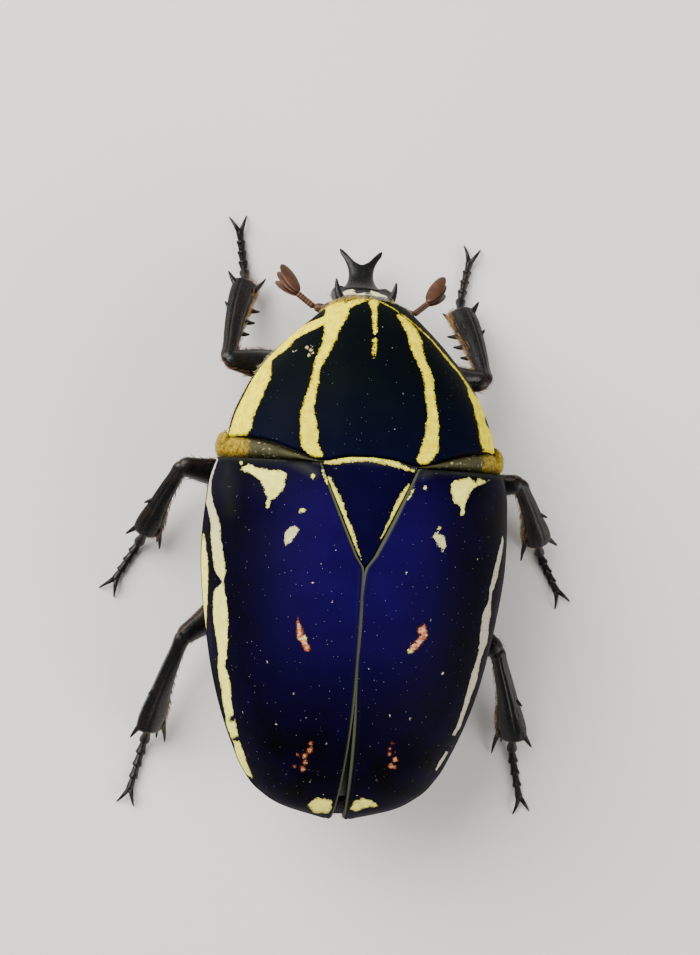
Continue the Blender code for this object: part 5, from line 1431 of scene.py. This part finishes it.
# Reddish-brown hair covers the sides and the middle of the underside and the tail plate and fringes the
# thighs, and gold-brown hair fringes the shins and the mouth. Each tuft stands in its skin and lies back
# along the body.
brown_hair = hair_finish("brown_hair", (0.12, 0.04, 0.012), (0.3, 0.13, 0.04))
shin_hair = hair_finish("shin_hair", (0.2, 0.09, 0.02), (0.45, 0.26, 0.07))
weight = clamp((-throat[..., 2] - 0.6) / 2) * (0.25 + clamp((np.abs(throat[..., 0]) - 7) / 3))
grow_hair(
    "throat_hair", throat, weight, 5200, 21, 0.9, 0.035, brown_hair,
    comb=lambda ways, roots: ways + (0, 0, -0.3),
)
weight = clamp((-thorax[..., 2] - 0.9) / 2) * (0.2 + clamp((np.abs(thorax[..., 0]) - 7.5) / 3))
grow_hair("flank_hair", thorax, weight, 6000, 22, 0.95, 0.035, brown_hair)
turn = full_turn(belly_rings.shape[1])
weight = clamp(-np.sin(turn) * 4) * (0.06 + np.abs(np.cos(turn)) ** 6 + 0.8 * bell(plate_share - 0.8, 0.07))
grow_hair("belly_hair", belly_rings, weight, 4200, 23, 0.55, 0.028, brown_hair, lift=0.4)
from_belly = np.abs(tail_rings[..., 1] - ABDOMEN_END)
weight = 0.12 + clamp((4 - from_belly) / 4) * (tail_rings[..., 2] < tail_middle)
grow_hair(
    "tail_hair", tail_rings, weight, 1100, 24, 0.65, 0.028, brown_hair,
    comb=lambda ways, roots: ways + (0, 0.5, -0.2),
)
for leg, side_name, femur, tibia in limbs:
    count = 360 if leg == "middle" else 420
    skin = limb_rings(*tibia)
    turn = np.linspace(-math.pi, math.pi, skin.shape[1], endpoint=False)[None]
    from_edge = math.pi - np.abs(turn)
    weight = bell(from_edge, 0.5) * np.linspace(0, 1, len(skin))[:, None].clip(0.15)
    name = f"{leg}_shin_hair_{side_name}"
    grow_hair(name, skin, weight, count, 31, 0.8, 0.03, shin_hair, lift=0.9)
    weight = (bell(from_edge, 0.3) + 0.7 * bell(turn, 0.25)) * np.ones((len(skin), 1))
    name = f"{leg}_thigh_hair_{side_name}"
    grow_hair(name, limb_rings(*femur), weight, count, 32, 0.75, 0.03, brown_hair, lift=1.0)
mouth = head_skins[0]
below = bell(full_turn(mouth.shape[1]) - 1.5 * math.pi, 0.8)
weight = below * clamp((np.linspace(0, 1, len(mouth)) - 0.7) * 6)[:, None]
grow_hair("mouth_brush", mouth, weight, 700, 33, 1.0, 0.035, shin_hair, lift=0.7)


# The floor is a plain pale sheet, lit by a large soft lamp over the head's left and a weaker one on the
# right.
FLOOR_REACH = 3.0
LAMP_COLOUR = (1.0, 0.965, 0.91)
floor_mesh = bpy.data.meshes.new("floor")
floor_corners = [(x * FLOOR_REACH, y * FLOOR_REACH, 0) for x, y in ((-1, -1), (1, -1), (1, 1), (-1, 1))]
floor_mesh.from_pydata(floor_corners, [], [(0, 1, 2, 3)])
floor = bpy.data.objects.new("floor", floor_mesh)
bpy.context.scene.collection.objects.link(floor)
pale_floor = Finish("pale_floor", 0.7)
pale_floor.feed(pale_floor.shader, {"Base Color": (0.8, 0.79, 0.77)})
floor_mesh.materials.append(pale_floor.material)

WORLD_COLOUR, WORLD_STRENGTH = (0.9, 0.89, 0.88, 1), 0.34
world = bpy.data.worlds.new("studio")
world.use_nodes = True
background = world.node_tree.nodes["Background"].inputs
background["Color"].default_value = WORLD_COLOUR
background["Strength"].default_value = WORLD_STRENGTH
bpy.context.scene.world = world


def add_lamp(name, place, size, watts):
    """A square soft lamp at a place in metres that faces the beetle."""
    lamp = bpy.data.lights.new(name, "AREA")
    lamp.size = size
    lamp.energy = watts
    lamp.color = LAMP_COLOUR
    holder = bpy.data.objects.new(name, lamp)
    holder.location = place
    holder.rotation_euler = (Vector((0, 0, 0.01)) - Vector(place)).to_track_quat("-Z", "Y").to_euler()
    bpy.context.scene.collection.objects.link(holder)


add_lamp("key_lamp", (0.3, -0.22, 0.32), 0.42, 6.2)
add_lamp("fill_lamp", (-0.36, 0.2, 0.26), 0.42, 2.2)
